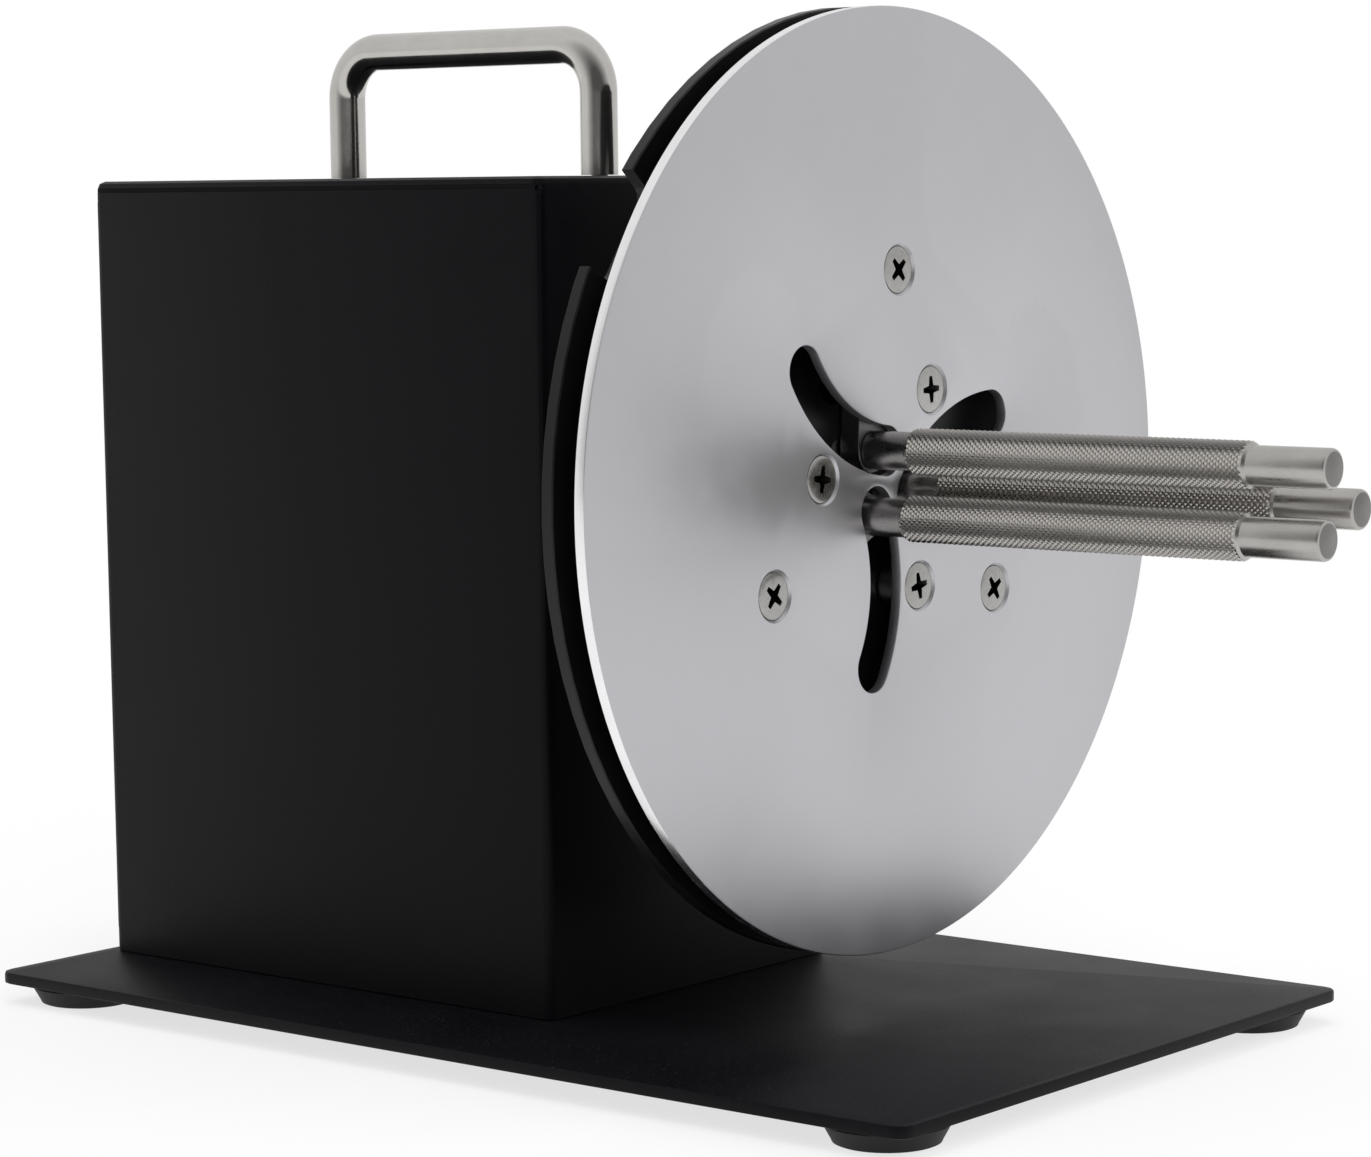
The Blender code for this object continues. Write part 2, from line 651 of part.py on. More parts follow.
# Swing arms: a rod stands at the inner end of each and a cam pin at the outer end
arm_outline = hull(circle(0.0, -ARM_LENGTH, ARM_TIP_RADIUS, SMALL_STEPS)
                   + circle(0.0, 0.0, ARM_BOSS_RADIUS, ROD_STEPS)
                   + circle(0.0, CAM_LEVER_LENGTH, ARM_TIP_RADIUS, SMALL_STEPS))
rod_profile = [(0.0, arm_back - CLEARANCE), (ROD_STUB_RADIUS, arm_back - CLEARANCE),
               (ROD_STUB_RADIUS, FRONT_DISC_THICKNESS), (ROD_NECK_RADIUS, FRONT_DISC_THICKNESS),
               (ROD_NECK_RADIUS, -ROD_NECK_REACH),
               (ROD_KNURL_RADIUS, -ROD_NECK_REACH - ROD_SHOULDER),
               (ROD_KNURL_RADIUS, ROD_SHOULDER - ROD_KNURL_REACH),
               (ROD_NECK_RADIUS, -ROD_KNURL_REACH),
               (ROD_NECK_RADIUS, ROD_TIP_CHAMFER - ROD_REACH),
               (ROD_NECK_RADIUS - ROD_TIP_CHAMFER, -ROD_REACH), (0.0, -ROD_REACH)]
for number, third in enumerate(thirds, start=1):
    x, z = pivot_points[number - 1]
    arm_axis = axis_point("arm_axis_%d" % number, (x, 0, z),
                          math.radians(ARM_CLOSED_DEG - third), reel_axis)
    arm = add("swing_arm_%d" % number, slab(new(), arm_outline, arm_front, arm_back),
              GREY_STEEL, arm_axis)
    bm = turn(new(), bar(0.0, 2 * arm_back, PIVOT_POST_RADIUS + CLEARANCE), steps=SMALL_STEPS)
    turn(bm, bar(0.0, 2 * arm_back, ROD_STUB_RADIUS + CLEARANCE), z=-ARM_LENGTH, steps=TINY_STEPS)
    turn(bm, bar(0.0, 2 * arm_back, CAM_PIN_RADIUS + CLEARANCE), z=CAM_LEVER_LENGTH,
         steps=SMALL_STEPS)
    cut(arm, add("arm_holes_%d" % number, bm, None, arm_axis))
    bm = turn(new(), rod_profile, z=-ARM_LENGTH, steps=ROD_STEPS)
    add("core_rod_%d" % number, bm, STAINLESS, arm_axis)
    bm = turn(new(), bar(arm_front + CLEARANCE, adjust_back - CLEARANCE, CAM_PIN_RADIUS),
              z=CAM_LEVER_LENGTH, steps=SMALL_STEPS)
    add("cam_pin_%d" % number, bm, STAINLESS, arm_axis)

# Bearing housing on the front of the body, with the bearing in its boss
seat_back = bearing_boss_front + BEARING_WIDTH + 2 * CLEARANCE
seat = BEARING_RADIUS + CLEARANCE
lip = SHAFT_RADIUS + BEARING_SEAT_LIP
bm = turn(new(), [(seat, bearing_boss_front),
                  (BEARING_BOSS_RADIUS, bearing_boss_front),
                  (BEARING_BOSS_RADIUS, bearing_flange_front),
                  (BEARING_FLANGE_RADIUS - HUB_CHAMFER, bearing_flange_front),
                  (BEARING_FLANGE_RADIUS, bearing_flange_front + HUB_CHAMFER),
                  (BEARING_FLANGE_RADIUS, bearing_flange_back), (lip, bearing_flange_back),
                  (lip, seat_back), (seat, seat_back)], closed=True)
bearing_housing = add("bearing_housing", bm, BLACK_ANODISED, at=reel_point)
bearing_screw_points = [polar(BEARING_SCREW_CIRCLE, 90 + third) for third in thirds]
screw_seat = bearing_flange_front - CLEARANCE
bm = new()
for x, z in bearing_screw_points:
    turn(bm, bar(screw_seat, screw_seat + BEARING_SCREW_LENGTH + CLEARANCE,
                 PAN_SHANK_RADIUS + CLEARANCE), x=x, z=z, steps=TINY_STEPS)
bearing_screw_holes = add("bearing_screw_holes", bm, None, at=reel_point)
cut(bearing_housing, bearing_screw_holes)
for number, (x, z) in enumerate(bearing_screw_points, start=1):
    bm = pan_screw(screw_seat, BEARING_SCREW_LENGTH, PAN_HEAD_RADIUS, PAN_HEAD_HEIGHT,
                   PAN_SHANK_RADIUS, "Y", x, z, way=-1)
    add("bearing_screw_%d" % number, bm, ZINC, at=reel_point)
bearing_front = bearing_boss_front + CLEARANCE
bm = turn(new(), ring(bore, BEARING_RADIUS, bearing_front, bearing_front + BEARING_WIDTH),
          closed=True)
add("shaft_bearing", bm, STAINLESS, at=reel_point)

# Gearbox and motor, held to the front panel by the bearing housing's screws
bm = turn(new(), bar(gearbox_front, gearbox_back, GEARBOX_RADIUS, GEARBOX_CHAMFER),
          steps=ROD_STEPS)
gearbox = add("gearbox", bm, GREY_STEEL, at=reel_point)
cut(gearbox, bearing_screw_holes)
bm = turn(new(), bar(0.0, shaft_back + CLEARANCE, bore), steps=SMALL_STEPS)
cut(gearbox, add("shaft_hole", bm, None, at=reel_point))
motor_front = gearbox_back + CLEARANCE
motor_back = motor_front + MOTOR_LENGTH
cap_back = motor_back + MOTOR_CAP_LENGTH
bush_back = cap_back + MOTOR_BUSH_LENGTH
bm = turn(new(), [(0.0, motor_front), (MOTOR_RADIUS - GEARBOX_CHAMFER, motor_front),
                  (MOTOR_RADIUS, motor_front + GEARBOX_CHAMFER), (MOTOR_RADIUS, motor_back),
                  (MOTOR_CAP_RADIUS, motor_back), (MOTOR_CAP_RADIUS, cap_back),
                  (MOTOR_BUSH_RADIUS, cap_back), (MOTOR_BUSH_RADIUS, bush_back),
                  (0.0, bush_back)], steps=ROD_STEPS)
motor = add("motor", bm, GREY_STEEL, at=reel_point)
bm = new()
for side in (-1, 1):
    x = side * MOTOR_TAB_OFFSET
    box(bm, (x - MOTOR_TAB / 2, cap_back - MOTOR_TAB_THICKNESS, -MOTOR_TAB_THICKNESS / 2),
        (x + MOTOR_TAB / 2, cap_back + MOTOR_TAB_LENGTH, MOTOR_TAB_THICKNESS / 2))
join(motor, add("motor_tabs", bm, None, at=reel_point, smooth=False))

# Body: one folded sheet for front, sides, top and flanges, with a seam under the top panel
bm = slab(new(), rounded_rectangle(BODY_WIDTH, shell_back - body_front, BODY_BEND_RADIUS, 0.0,
                                   shell_middle), body_bottom, body_top, "XY")
rim = [edge for edge in bm.edges if all(abs(v.co.z - body_top) < CLEARANCE for v in edge.verts)]
bmesh.ops.bevel(bm, geom=rim, offset=BODY_BEND_RADIUS * BEND_SHARE, segments=2, profile=0.5,
                affect="EDGES", material=-1)
body_shell = add("body_shell", bm, BLACK_COAT)
window_half = inner_half - FLANGE_WIDTH
bm = box(new(), (-inner_half, body_front + SHEET, inner_bottom),
         (inner_half, inner_back, inner_top))
cut(body_shell, add("cavity", bm, None))
bm = box(new(), (-window_half, body_front + SHEET + FLANGE_WIDTH, 0.0),
         (window_half, inner_back - FLANGE_WIDTH, inner_bottom + SHEET))
box(bm, (-window_half, inner_back - SHEET, inner_bottom + FLANGE_WIDTH),
    (window_half, shell_back + SHEET, inner_top - FLANGE_WIDTH))
cut(body_shell, add("windows", bm, None))

seam_top = body_top - SEAM_DROP
bm = new()
for side in (-1, 1):
    edges = sorted((side * (half_body - SEAM_DEPTH), side * (half_body + SEAM_DEPTH)))
    box(bm, (edges[0], body_front + BODY_BEND_RADIUS, seam_top - SEAM_HEIGHT),
        (edges[1], shell_back + SHEET, seam_top))
cut(body_shell, add("seams", bm, None))
bm = new()
for side in (-1, 1):
    corner = (side * (half_body - RELIEF_INSET), body_front + RELIEF_INSET, seam_top - SEAM_HEIGHT)
    bmesh.ops.create_uvsphere(bm, u_segments=10, v_segments=5, radius=RELIEF_RADIUS,
                              matrix=Matrix.Translation(corner))
cut(body_shell, add("corner_reliefs", bm, None))

body_hole_points = [(sx * (inner_half - FLANGE_WIDTH / 2), y) for sx in (-1, 1)
                    for y in (body_front + SHEET + FLANGE_WIDTH, inner_back - FLANGE_WIDTH)]
bm = new()
for x, y in body_hole_points:
    turn(bm, bar(0.0, inner_bottom + SHEET, PAN_SHANK_RADIUS + CLEARANCE), "Z", x, y, TINY_STEPS)
body_screw_holes = add("body_screw_holes", bm, None)
cut(body_shell, body_screw_holes)
for number, (x, y) in enumerate(body_hole_points, start=1):
    bm = pan_screw(plate_bottom - CLEARANCE, BODY_SCREW_LENGTH, PAN_HEAD_RADIUS,
                   PAN_HEAD_HEIGHT, PAN_SHANK_RADIUS, "Z", x, y, way=-1)
    add("body_screw_%d" % number, bm, ZINC)

# Front panel: a hole for the shaft and three for the bearing screws
bm = turn(new(), bar(BODY_SETBACK - SHEET, BODY_SETBACK + 2 * SHEET, lip), steps=SMALL_STEPS)
cut(body_shell, add("front_hole", bm, None, at=reel_point))
cut(body_shell, bearing_screw_holes)

# Back panel on the flanges, with vents, screws and the power inlet
panel_front = body_back - BACK_PANEL_THICKNESS
bm = slab(new(), rounded_rectangle(BODY_WIDTH - 2 * PANEL_MARGIN, BODY_HEIGHT - 2 * PANEL_MARGIN,
                                   BODY_BEND_RADIUS, 0.0, (body_bottom + body_top) / 2),
          panel_front, body_back)
back_panel = add("back_panel", bm, BLACK_COAT)
bm = new()
for step in range(VENT_COUNT):
    x = (step - (VENT_COUNT - 1) / 2) * VENT_PITCH
    path = [(x, VENT_HEIGHT - VENT_LENGTH / 2), (x, VENT_HEIGHT + VENT_LENGTH / 2)]
    slab(bm, track(path, VENT_HALF_WIDTH), panel_front - SHEET, body_back + SHEET)
cut(back_panel, add("vents", bm, None))
panel_screw_points = [(sx * (inner_half - FLANGE_WIDTH / 2), z) for sx in (-1, 1)
                      for z in (inner_bottom + FLANGE_WIDTH, inner_top - FLANGE_WIDTH)]
bm = new()
for x, z in panel_screw_points:
    turn(bm, bar(inner_back - SHEET, body_back + SHEET, SMALL_SHANK_RADIUS + CLEARANCE), "Y",
         x, z, TINY_STEPS)
panel_screw_holes = add("panel_screw_holes", bm, None)
cut(back_panel, panel_screw_holes)
cut(body_shell, panel_screw_holes)
for number, (x, z) in enumerate(panel_screw_points, start=1):
    bm = pan_screw(body_back + CLEARANCE, PANEL_SCREW_LENGTH, SMALL_HEAD_RADIUS,
                   SMALL_HEAD_HEIGHT, SMALL_SHANK_RADIUS, "Y", x, z)
    add("back_panel_screw_%d" % number, bm, ZINC)

bezel_back = body_back + CLEARANCE
inlet_face = bezel_back + INLET_BEZEL_THICKNESS
socket_floor = inlet_face - INLET_SOCKET_DEPTH
barrel_end = body_back - INLET_BARREL_LENGTH
bm = turn(new(), [(0.0, barrel_end), (INLET_BARREL_RADIUS, barrel_end),
                  (INLET_BARREL_RADIUS, bezel_back), (INLET_BEZEL_RADIUS, bezel_back),
                  (INLET_BEZEL_RADIUS, inlet_face), (INLET_SOCKET_RADIUS, inlet_face),
                  (INLET_SOCKET_RADIUS, socket_floor), (INLET_PIN_RADIUS, socket_floor),
                  (INLET_PIN_RADIUS, body_back), (0.0, body_back)],
          "Y", 0.0, INLET_HEIGHT, SMALL_STEPS)
add("power_inlet", bm, BLACK_PLASTIC)
bm = turn(new(), bar(panel_front - SHEET, body_back + SHEET, INLET_BARREL_RADIUS + CLEARANCE),
          "Y", 0.0, INLET_HEIGHT, SMALL_STEPS)
cut(back_panel, add("inlet_hole", bm, None))

# Base plate on four glued rubber feet
bm = slab(new(), rounded_rectangle(PLATE_WIDTH, PLATE_DEPTH, PLATE_CORNER_RADIUS, 0.0,
                                   plate_middle), plate_bottom, plate_top, "XY")
rim = [edge for edge in bm.edges if abs(edge.verts[0].co.z - edge.verts[1].co.z) < CLEARANCE]
bmesh.ops.bevel(bm, geom=rim, offset=PLATE_EDGE, segments=2, profile=0.5, affect="EDGES",
                material=-1)
base_plate = add("base_plate", bm, BLACK_COAT)
cut(base_plate, body_screw_holes)
foot_points = [(sx * (PLATE_WIDTH / 2 - FOOT_INSET),
                plate_middle + sy * (PLATE_DEPTH / 2 - FOOT_INSET))
               for sx in (-1, 1) for sy in (-1, 1)]
for number, (x, y) in enumerate(foot_points, start=1):
    bm = turn(new(), [(0.0, FOOT_POCKET_DEPTH), (FOOT_POCKET_RADIUS, FOOT_POCKET_DEPTH),
                      (FOOT_POCKET_RADIUS, 0.0), (FOOT_TREAD_RADIUS - FOOT_EDGE, 0.0),
                      (FOOT_TREAD_RADIUS, FOOT_EDGE), (FOOT_RADIUS, FOOT_HEIGHT),
                      (0.0, FOOT_HEIGHT)], "Z", x, y, ROD_STEPS)
    add("rubber_foot_%d" % number, bm, BLACK_RUBBER)

# Carry handle: a bent round bar held by screws from inside the body
handle_base = body_top + CLEARANCE
handle_middle = body_front + BODY_DEPTH / 2 - HANDLE_AHEAD
half_spacing = HANDLE_SPACING / 2
bend_level = handle_base + HANDLE_HEIGHT - HANDLE_BAR_RADIUS - HANDLE_BEND_RADIUS
bend_y = half_spacing - HANDLE_BEND_RADIUS
path = [(-half_spacing, handle_base)]
path += circle(-bend_y, bend_level, HANDLE_BEND_RADIUS, BEND_STEPS, 180.0, -90.0, ends=True)
path += circle(bend_y, bend_level, HANDLE_BEND_RADIUS, BEND_STEPS, 90.0, -90.0, ends=True)
path += [(half_spacing, handle_base)]
bm = new()
rounds = []
for index, (y, z) in enumerate(path):
    ay, az = path[max(index - 1, 0)]
    by, bz = path[min(index + 1, len(path) - 1)]
    outward = Vector((0, az - bz, by - ay)).normalized()
    middle = Vector((0, handle_middle + y, z))
    points = circle(0.0, 0.0, HANDLE_BAR_RADIUS, SMALL_STEPS)
    rounds.append([bm.verts.new(middle + Vector((u, 0, 0)) + outward * v) for u, v in points])
for first, second in zip(rounds, rounds[1:]):
    for step in range(SMALL_STEPS):
        last = (step + 1) % SMALL_STEPS
        bm.faces.new((first[step], first[last], second[last], second[step]))
bm.faces.new(rounds[0])
bm.faces.new(rounds[-1])
carry_handle = add("carry_handle", bm, POLISHED)
handle_points = [(0.0, handle_middle - half_spacing), (0.0, handle_middle + half_spacing)]
bm = new()
for x, y in handle_points:
    turn(bm, bar(inner_top - SHEET, handle_base + HANDLE_THREAD_DEPTH,
                 PAN_SHANK_RADIUS + CLEARANCE), "Z", x, y, TINY_STEPS)
handle_holes = add("handle_holes", bm, None)
cut(carry_handle, handle_holes)
cut(body_shell, handle_holes)
for number, (x, y) in enumerate(handle_points, start=1):
    bm = pan_screw(inner_top - CLEARANCE, HANDLE_SCREW_LENGTH, PAN_HEAD_RADIUS,
                   PAN_HEAD_HEIGHT, PAN_SHANK_RADIUS, "Z", x, y, way=-1)
    add("handle_screw_%d" % number, bm, ZINC)

# Speed control: a potentiometer in the right side, whose shaft and knob turn together
wall_in = inner_half - CLEARANCE
wall_out = half_body + CLEARANCE
pot_point = (0, control_y, KNOB_HEIGHT)
knob_axis = axis_point("knob_axis", pot_point)
pot_back = wall_in - POT_BODY_LENGTH
bush_end = half_body + POT_BUSH_REACH
shaft_gap = POT_SHAFT_RADIUS + CLEARANCE
bm = turn(new(), [(shaft_gap, pot_back), (POT_BODY_RADIUS, pot_back), (POT_BODY_RADIUS, wall_in),
                  (POT_BUSH_RADIUS, wall_in), (POT_BUSH_RADIUS, bush_end), (shaft_gap, bush_end)],
          "X", steps=SMALL_STEPS, closed=True)
speed_potentiometer = add("speed_potentiometer", bm, GREY_STEEL, at=pot_point)
bm = new()
for step in (-1, 0, 1):
    y = 2 * step * POT_TAB_WIDTH
    box(bm, (pot_back + POT_TAB_WIDTH, y - POT_TAB_WIDTH / 2, -POT_BODY_RADIUS - POT_TAB_LENGTH),
        (pot_back + POT_TAB_WIDTH + POT_TAB_THICKNESS, y + POT_TAB_WIDTH / 2,
         POT_TAB_WIDTH - POT_BODY_RADIUS))
join(speed_potentiometer, add("pot_tabs", bm, None, at=pot_point, smooth=False))
bm = turn(new(), bar(wall_in - SHEET, wall_out + SHEET, POT_BUSH_RADIUS + CLEARANCE), "X",
          steps=SMALL_STEPS)
cut(body_shell, add("pot_hole", bm, None, at=pot_point))
nut_outline = circle(0.0, 0.0, POT_NUT_RADIUS, 6)
bm = slab(new(), nut_outline, wall_out, wall_out + POT_NUT_THICKNESS, "YZ")
potentiometer_nut = add("potentiometer_nut", bm, ZINC, at=pot_point, smooth=False)
bm = turn(new(), bar(half_body, bush_end, POT_BUSH_RADIUS + CLEARANCE), "X", steps=SMALL_STEPS)
cut(potentiometer_nut, add("nut_bore", bm, None, at=pot_point))

knob_in = half_body + KNOB_STANDOFF
knob_out = knob_in + KNOB_LENGTH
bm = turn(new(), bar(pot_back, knob_out - KNOB_CAP - CLEARANCE, POT_SHAFT_RADIUS), "X",
          steps=SMALL_STEPS)
add("potentiometer_shaft", bm, STAINLESS, knob_axis)
outline = []
for step in range(4 * KNOB_FLUTES):
    dip = KNOB_FLUTE_DEPTH * (1 - math.cos(math.tau * step / 4)) / 2
    outline.append(polar(KNOB_RADIUS - dip, 360 * step / (4 * KNOB_FLUTES)))
bm = slab(new(), outline, knob_in, knob_out, "YZ")
rim = [edge for edge in bm.edges if all(abs(v.co.x - knob_out) < CLEARANCE for v in edge.verts)]
bmesh.ops.bevel(bm, geom=rim, offset=KNOB_EDGE, segments=1, profile=0.5, affect="EDGES",
                material=-1)
speed_knob = add("speed_knob", bm, BLACK_PLASTIC, knob_axis)
bm = turn(new(), [(0.0, knob_in), (KNOB_SKIRT_RADIUS, knob_in),
                  (KNOB_SKIRT_RADIUS, knob_in + KNOB_SKIRT_LENGTH / 2),
                  (KNOB_RADIUS - KNOB_FLUTE_DEPTH, knob_in + KNOB_SKIRT_LENGTH),
                  (0.0, knob_in + KNOB_SKIRT_LENGTH)], "X")
join(speed_knob, add("knob_skirt", bm, None, knob_axis))
bm = box(new(), (knob_out - KNOB_CAP / 2, -KNOB_POINTER_WIDTH / 2, 0.0),
         (knob_out + KNOB_POINTER_RISE, KNOB_POINTER_WIDTH / 2, KNOB_RADIUS - 2 * KNOB_EDGE))
join(speed_knob, add("knob_pointer", bm, None, knob_axis))
recess_end = knob_in + KNOB_RECESS_DEPTH
bm = turn(new(), [(0.0, knob_in - SHEET), (KNOB_RECESS_RADIUS, knob_in - SHEET),
                  (KNOB_RECESS_RADIUS, recess_end), (shaft_gap, recess_end),
                  (shaft_gap, knob_out - KNOB_CAP), (0.0, knob_out - KNOB_CAP)], "X",
          steps=SMALL_STEPS)
cut(speed_knob, add("knob_bore", bm, None, knob_axis))

# Direction switch: a rocker that tips about Y, let into the right side
switch_point = (half_body + ROCKER_AXIS_OUT, control_y, DIRECTION_HEIGHT)
rocker_axis = axis_point("rocker_axis", switch_point)
pocket = ROCKER_RADIUS + CLEARANCE + CLEARANCE / 2
body_half = pocket + SWITCH_WALL
pocket_side = ROCKER_WIDTH / 2 + CLEARANCE
body_side = pocket_side + SWITCH_WALL
bezel_in = CLEARANCE - ROCKER_AXIS_OUT
bezel_out = bezel_in + SWITCH_BEZEL_THICKNESS
bm = box(new(), (bezel_in, -SWITCH_BEZEL_WIDTH / 2, -SWITCH_BEZEL_LENGTH / 2),
         (bezel_out, SWITCH_BEZEL_WIDTH / 2, SWITCH_BEZEL_LENGTH / 2))
direction_switch = add("direction_switch", bm, BLACK_PLASTIC, at=switch_point, smooth=False)
bm = box(new(), (-SWITCH_BODY_REACH, -body_side, -body_half),
         (bezel_out - SWITCH_BEZEL_THICKNESS / 2, body_side, body_half))
join(direction_switch, add("switch_body", bm, None, at=switch_point, smooth=False))
bm = new()
for step in (-1, 0, 1):
    z = step * SWITCH_TAB_PITCH
    box(bm, (-SWITCH_BODY_REACH - SWITCH_TAB_LENGTH, -SWITCH_TAB_WIDTH / 2,
             z - SWITCH_TAB_THICKNESS / 2),
        (-SWITCH_BODY_REACH + SWITCH_WALL, SWITCH_TAB_WIDTH / 2, z + SWITCH_TAB_THICKNESS / 2))
join(direction_switch, add("switch_tabs", bm, None, at=switch_point, smooth=False))
bm = box(new(), (-pocket, -pocket_side, -pocket), (bezel_out + SHEET, pocket_side, pocket))
cut(direction_switch, add("switch_pocket", bm, None, at=switch_point, smooth=False))
bm = box(new(), (-2 * SHEET, -body_side - CLEARANCE, -body_half - CLEARANCE),
         (SHEET, body_side + CLEARANCE, body_half + CLEARANCE))
cut(body_shell, add("switch_opening", bm, None, at=switch_point, smooth=False))
arc = circle(0.0, 0.0, ROCKER_RADIUS, 2 * ARC_STEPS, 90.0 - ROCKER_CORNER_DEG,
             180.0 + 2 * ROCKER_CORNER_DEG, ends=True)
bm = slab(new(), arc + [(ROCKER_VALLEY, 0.0)], -ROCKER_WIDTH / 2, ROCKER_WIDTH / 2)
add("direction_rocker", bm, BLACK_PLASTIC, rocker_axis)

# Control board on a tray with four posts, which stands on the base plate
board_front = body_front + SHEET + FLANGE_WIDTH + BOARD_FRONT_GAP
board_back = board_front + BOARD_DEPTH
board_half = window_half - BOARD_SIDE_GAP
post_top = body_bottom + TRAY_POST_HEIGHT
board_low = post_top + CLEARANCE
board_top = board_low + BOARD_THICKNESS
bm = box(new(), (-board_half, board_front, board_low), (board_half, board_back, board_top))
control_board = add("control_board", bm, BOARD_GREEN, smooth=False)
board_points = [(sx * (board_half - BOARD_HOLE_INSET), y) for sx in (-1, 1)
                for y in (board_front + BOARD_HOLE_INSET, board_back - BOARD_HOLE_INSET)]
bm = new()
for x, y in board_points:
    turn(bm, bar(board_low - SHEET, board_top + SHEET, TRAY_PIN_RADIUS + CLEARANCE), "Z",
         x, y, TINY_STEPS)
cut(control_board, add("board_holes", bm, None))
tray_top = body_bottom + TRAY_THICKNESS
bm = box(new(), (-board_half, board_front, body_bottom), (board_half, board_back, tray_top))
board_tray = add("board_tray", bm, BLACK_PLASTIC)
bm = new()
pin_top = board_top + TRAY_PIN_RISE
for x, y in board_points:
    turn(bm, [(0.0, tray_top - TRAY_THICKNESS / 2),
              (TRAY_POST_RADIUS, tray_top - TRAY_THICKNESS / 2), (TRAY_POST_RADIUS, post_top),
              (TRAY_PIN_RADIUS, post_top), (TRAY_PIN_RADIUS, pin_top), (0.0, pin_top)],
         "Z", x, y, TINY_STEPS)
join(board_tray, add("tray_posts", bm, None))
part_low = board_top + CLEARANCE
bm = turn(new(), bar(part_low, part_low + CAPACITOR_HEIGHT, CAPACITOR_RADIUS, GEARBOX_CHAMFER),
          "Z", -board_half / 2, board_front + BOARD_DEPTH / 3, SMALL_STEPS)
add("capacitor", bm, BLACK_PLASTIC)
terminal_front = board_back - 2 * TERMINAL_DEPTH
terminal_back = board_back - TERMINAL_DEPTH
bm = box(new(), (-TERMINAL_WIDTH / 2, terminal_front, part_low),
         (TERMINAL_WIDTH / 2, terminal_back, part_low + TERMINAL_HEIGHT))
terminal_block = add("terminal_block", bm, TERMINAL_GREEN, smooth=False)
bm = new()
for step in range(TERMINAL_COUNT):
    x = (step - (TERMINAL_COUNT - 1) / 2) * TERMINAL_WIDTH / TERMINAL_COUNT
    box(bm, (x - TERMINAL_SLOT / 2, terminal_back - TERMINAL_SLOT, part_low + TERMINAL_SLOT / 2),
        (x + TERMINAL_SLOT / 2, terminal_back + SHEET, part_low + 3 * TERMINAL_SLOT / 2))
cut(terminal_block, add("terminal_slots", bm, None, smooth=False))
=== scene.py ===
"""Looks for the label rewinder: a silver reel with knurled rods on a black steel body.

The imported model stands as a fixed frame. Its nodes get smooth copies with procedural
finishes. The reel's face, its screws, the rods, the carry handle and the feet are built
anew in the same places. All lengths are in metres and all angles in degrees.
"""
import json
import logging
import math
from dataclasses import dataclass
from enum import Enum
from typing import Iterable, Optional, Sequence

import bmesh
import bpy
from bmesh.types import BMEdge, BMesh, BMVert
from mathutils import Matrix, Vector

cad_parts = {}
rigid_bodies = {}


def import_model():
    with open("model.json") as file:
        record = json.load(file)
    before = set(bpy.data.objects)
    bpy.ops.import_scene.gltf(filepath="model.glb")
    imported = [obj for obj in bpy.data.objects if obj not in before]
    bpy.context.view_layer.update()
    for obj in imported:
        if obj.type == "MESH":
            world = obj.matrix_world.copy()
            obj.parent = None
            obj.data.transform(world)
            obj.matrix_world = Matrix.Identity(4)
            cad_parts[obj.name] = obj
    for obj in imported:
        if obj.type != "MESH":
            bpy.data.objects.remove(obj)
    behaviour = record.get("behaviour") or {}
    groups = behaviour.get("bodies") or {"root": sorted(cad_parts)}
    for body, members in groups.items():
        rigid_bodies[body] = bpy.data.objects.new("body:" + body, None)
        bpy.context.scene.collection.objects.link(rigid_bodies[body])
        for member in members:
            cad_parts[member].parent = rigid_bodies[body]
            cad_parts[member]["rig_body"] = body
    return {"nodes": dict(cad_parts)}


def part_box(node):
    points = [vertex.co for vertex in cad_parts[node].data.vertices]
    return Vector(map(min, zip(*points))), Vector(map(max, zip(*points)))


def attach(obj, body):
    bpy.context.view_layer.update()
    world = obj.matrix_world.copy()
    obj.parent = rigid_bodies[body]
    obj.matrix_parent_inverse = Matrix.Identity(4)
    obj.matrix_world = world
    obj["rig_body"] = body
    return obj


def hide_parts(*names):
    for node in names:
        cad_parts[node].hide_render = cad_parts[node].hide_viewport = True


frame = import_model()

LOG = logging.getLogger("rewinder")
Colour = tuple[float, float, float]
MERGE_DISTANCE = 1e-6
CREASE_DEG = 40.0
THIRDS = (0, 120, 240)

# Shares, ranges and scales of the effects' patterns
TONE_RANGE = (0.3, 0.7)
FINE_SHARE, BROAD_SHARE, BROAD_SCALE = 0.35, 0.65, 0.035
RING_SHARE, RING_GRAIN_SHARE = 0.7, 0.3
EDGE_RANGE, WEAR_PATCH_RANGE, WEAR_PATCH_SCALE = (0.995, 0.82), (0.35, 0.7, 0.15, 1.0), 140.0
LYING_RANGE, SPECK_RANGE, SPECK_SCALE = (0.5, 1.0), (0.66, 0.8), 1500.0
DUST_COLOUR = (0.45, 0.44, 0.42, 1.0)
FIBRE_SCALE = 0.7


# ---- Finishes ----

class Pattern(Enum):
    """What gives a finish its fine relief."""

    SPRAYED = "sprayed"
    BLASTED = "blasted"
    TURNED = "turned"
    DRAWN = "drawn"
    MOULDED = "moulded"
    WOVEN = "woven"


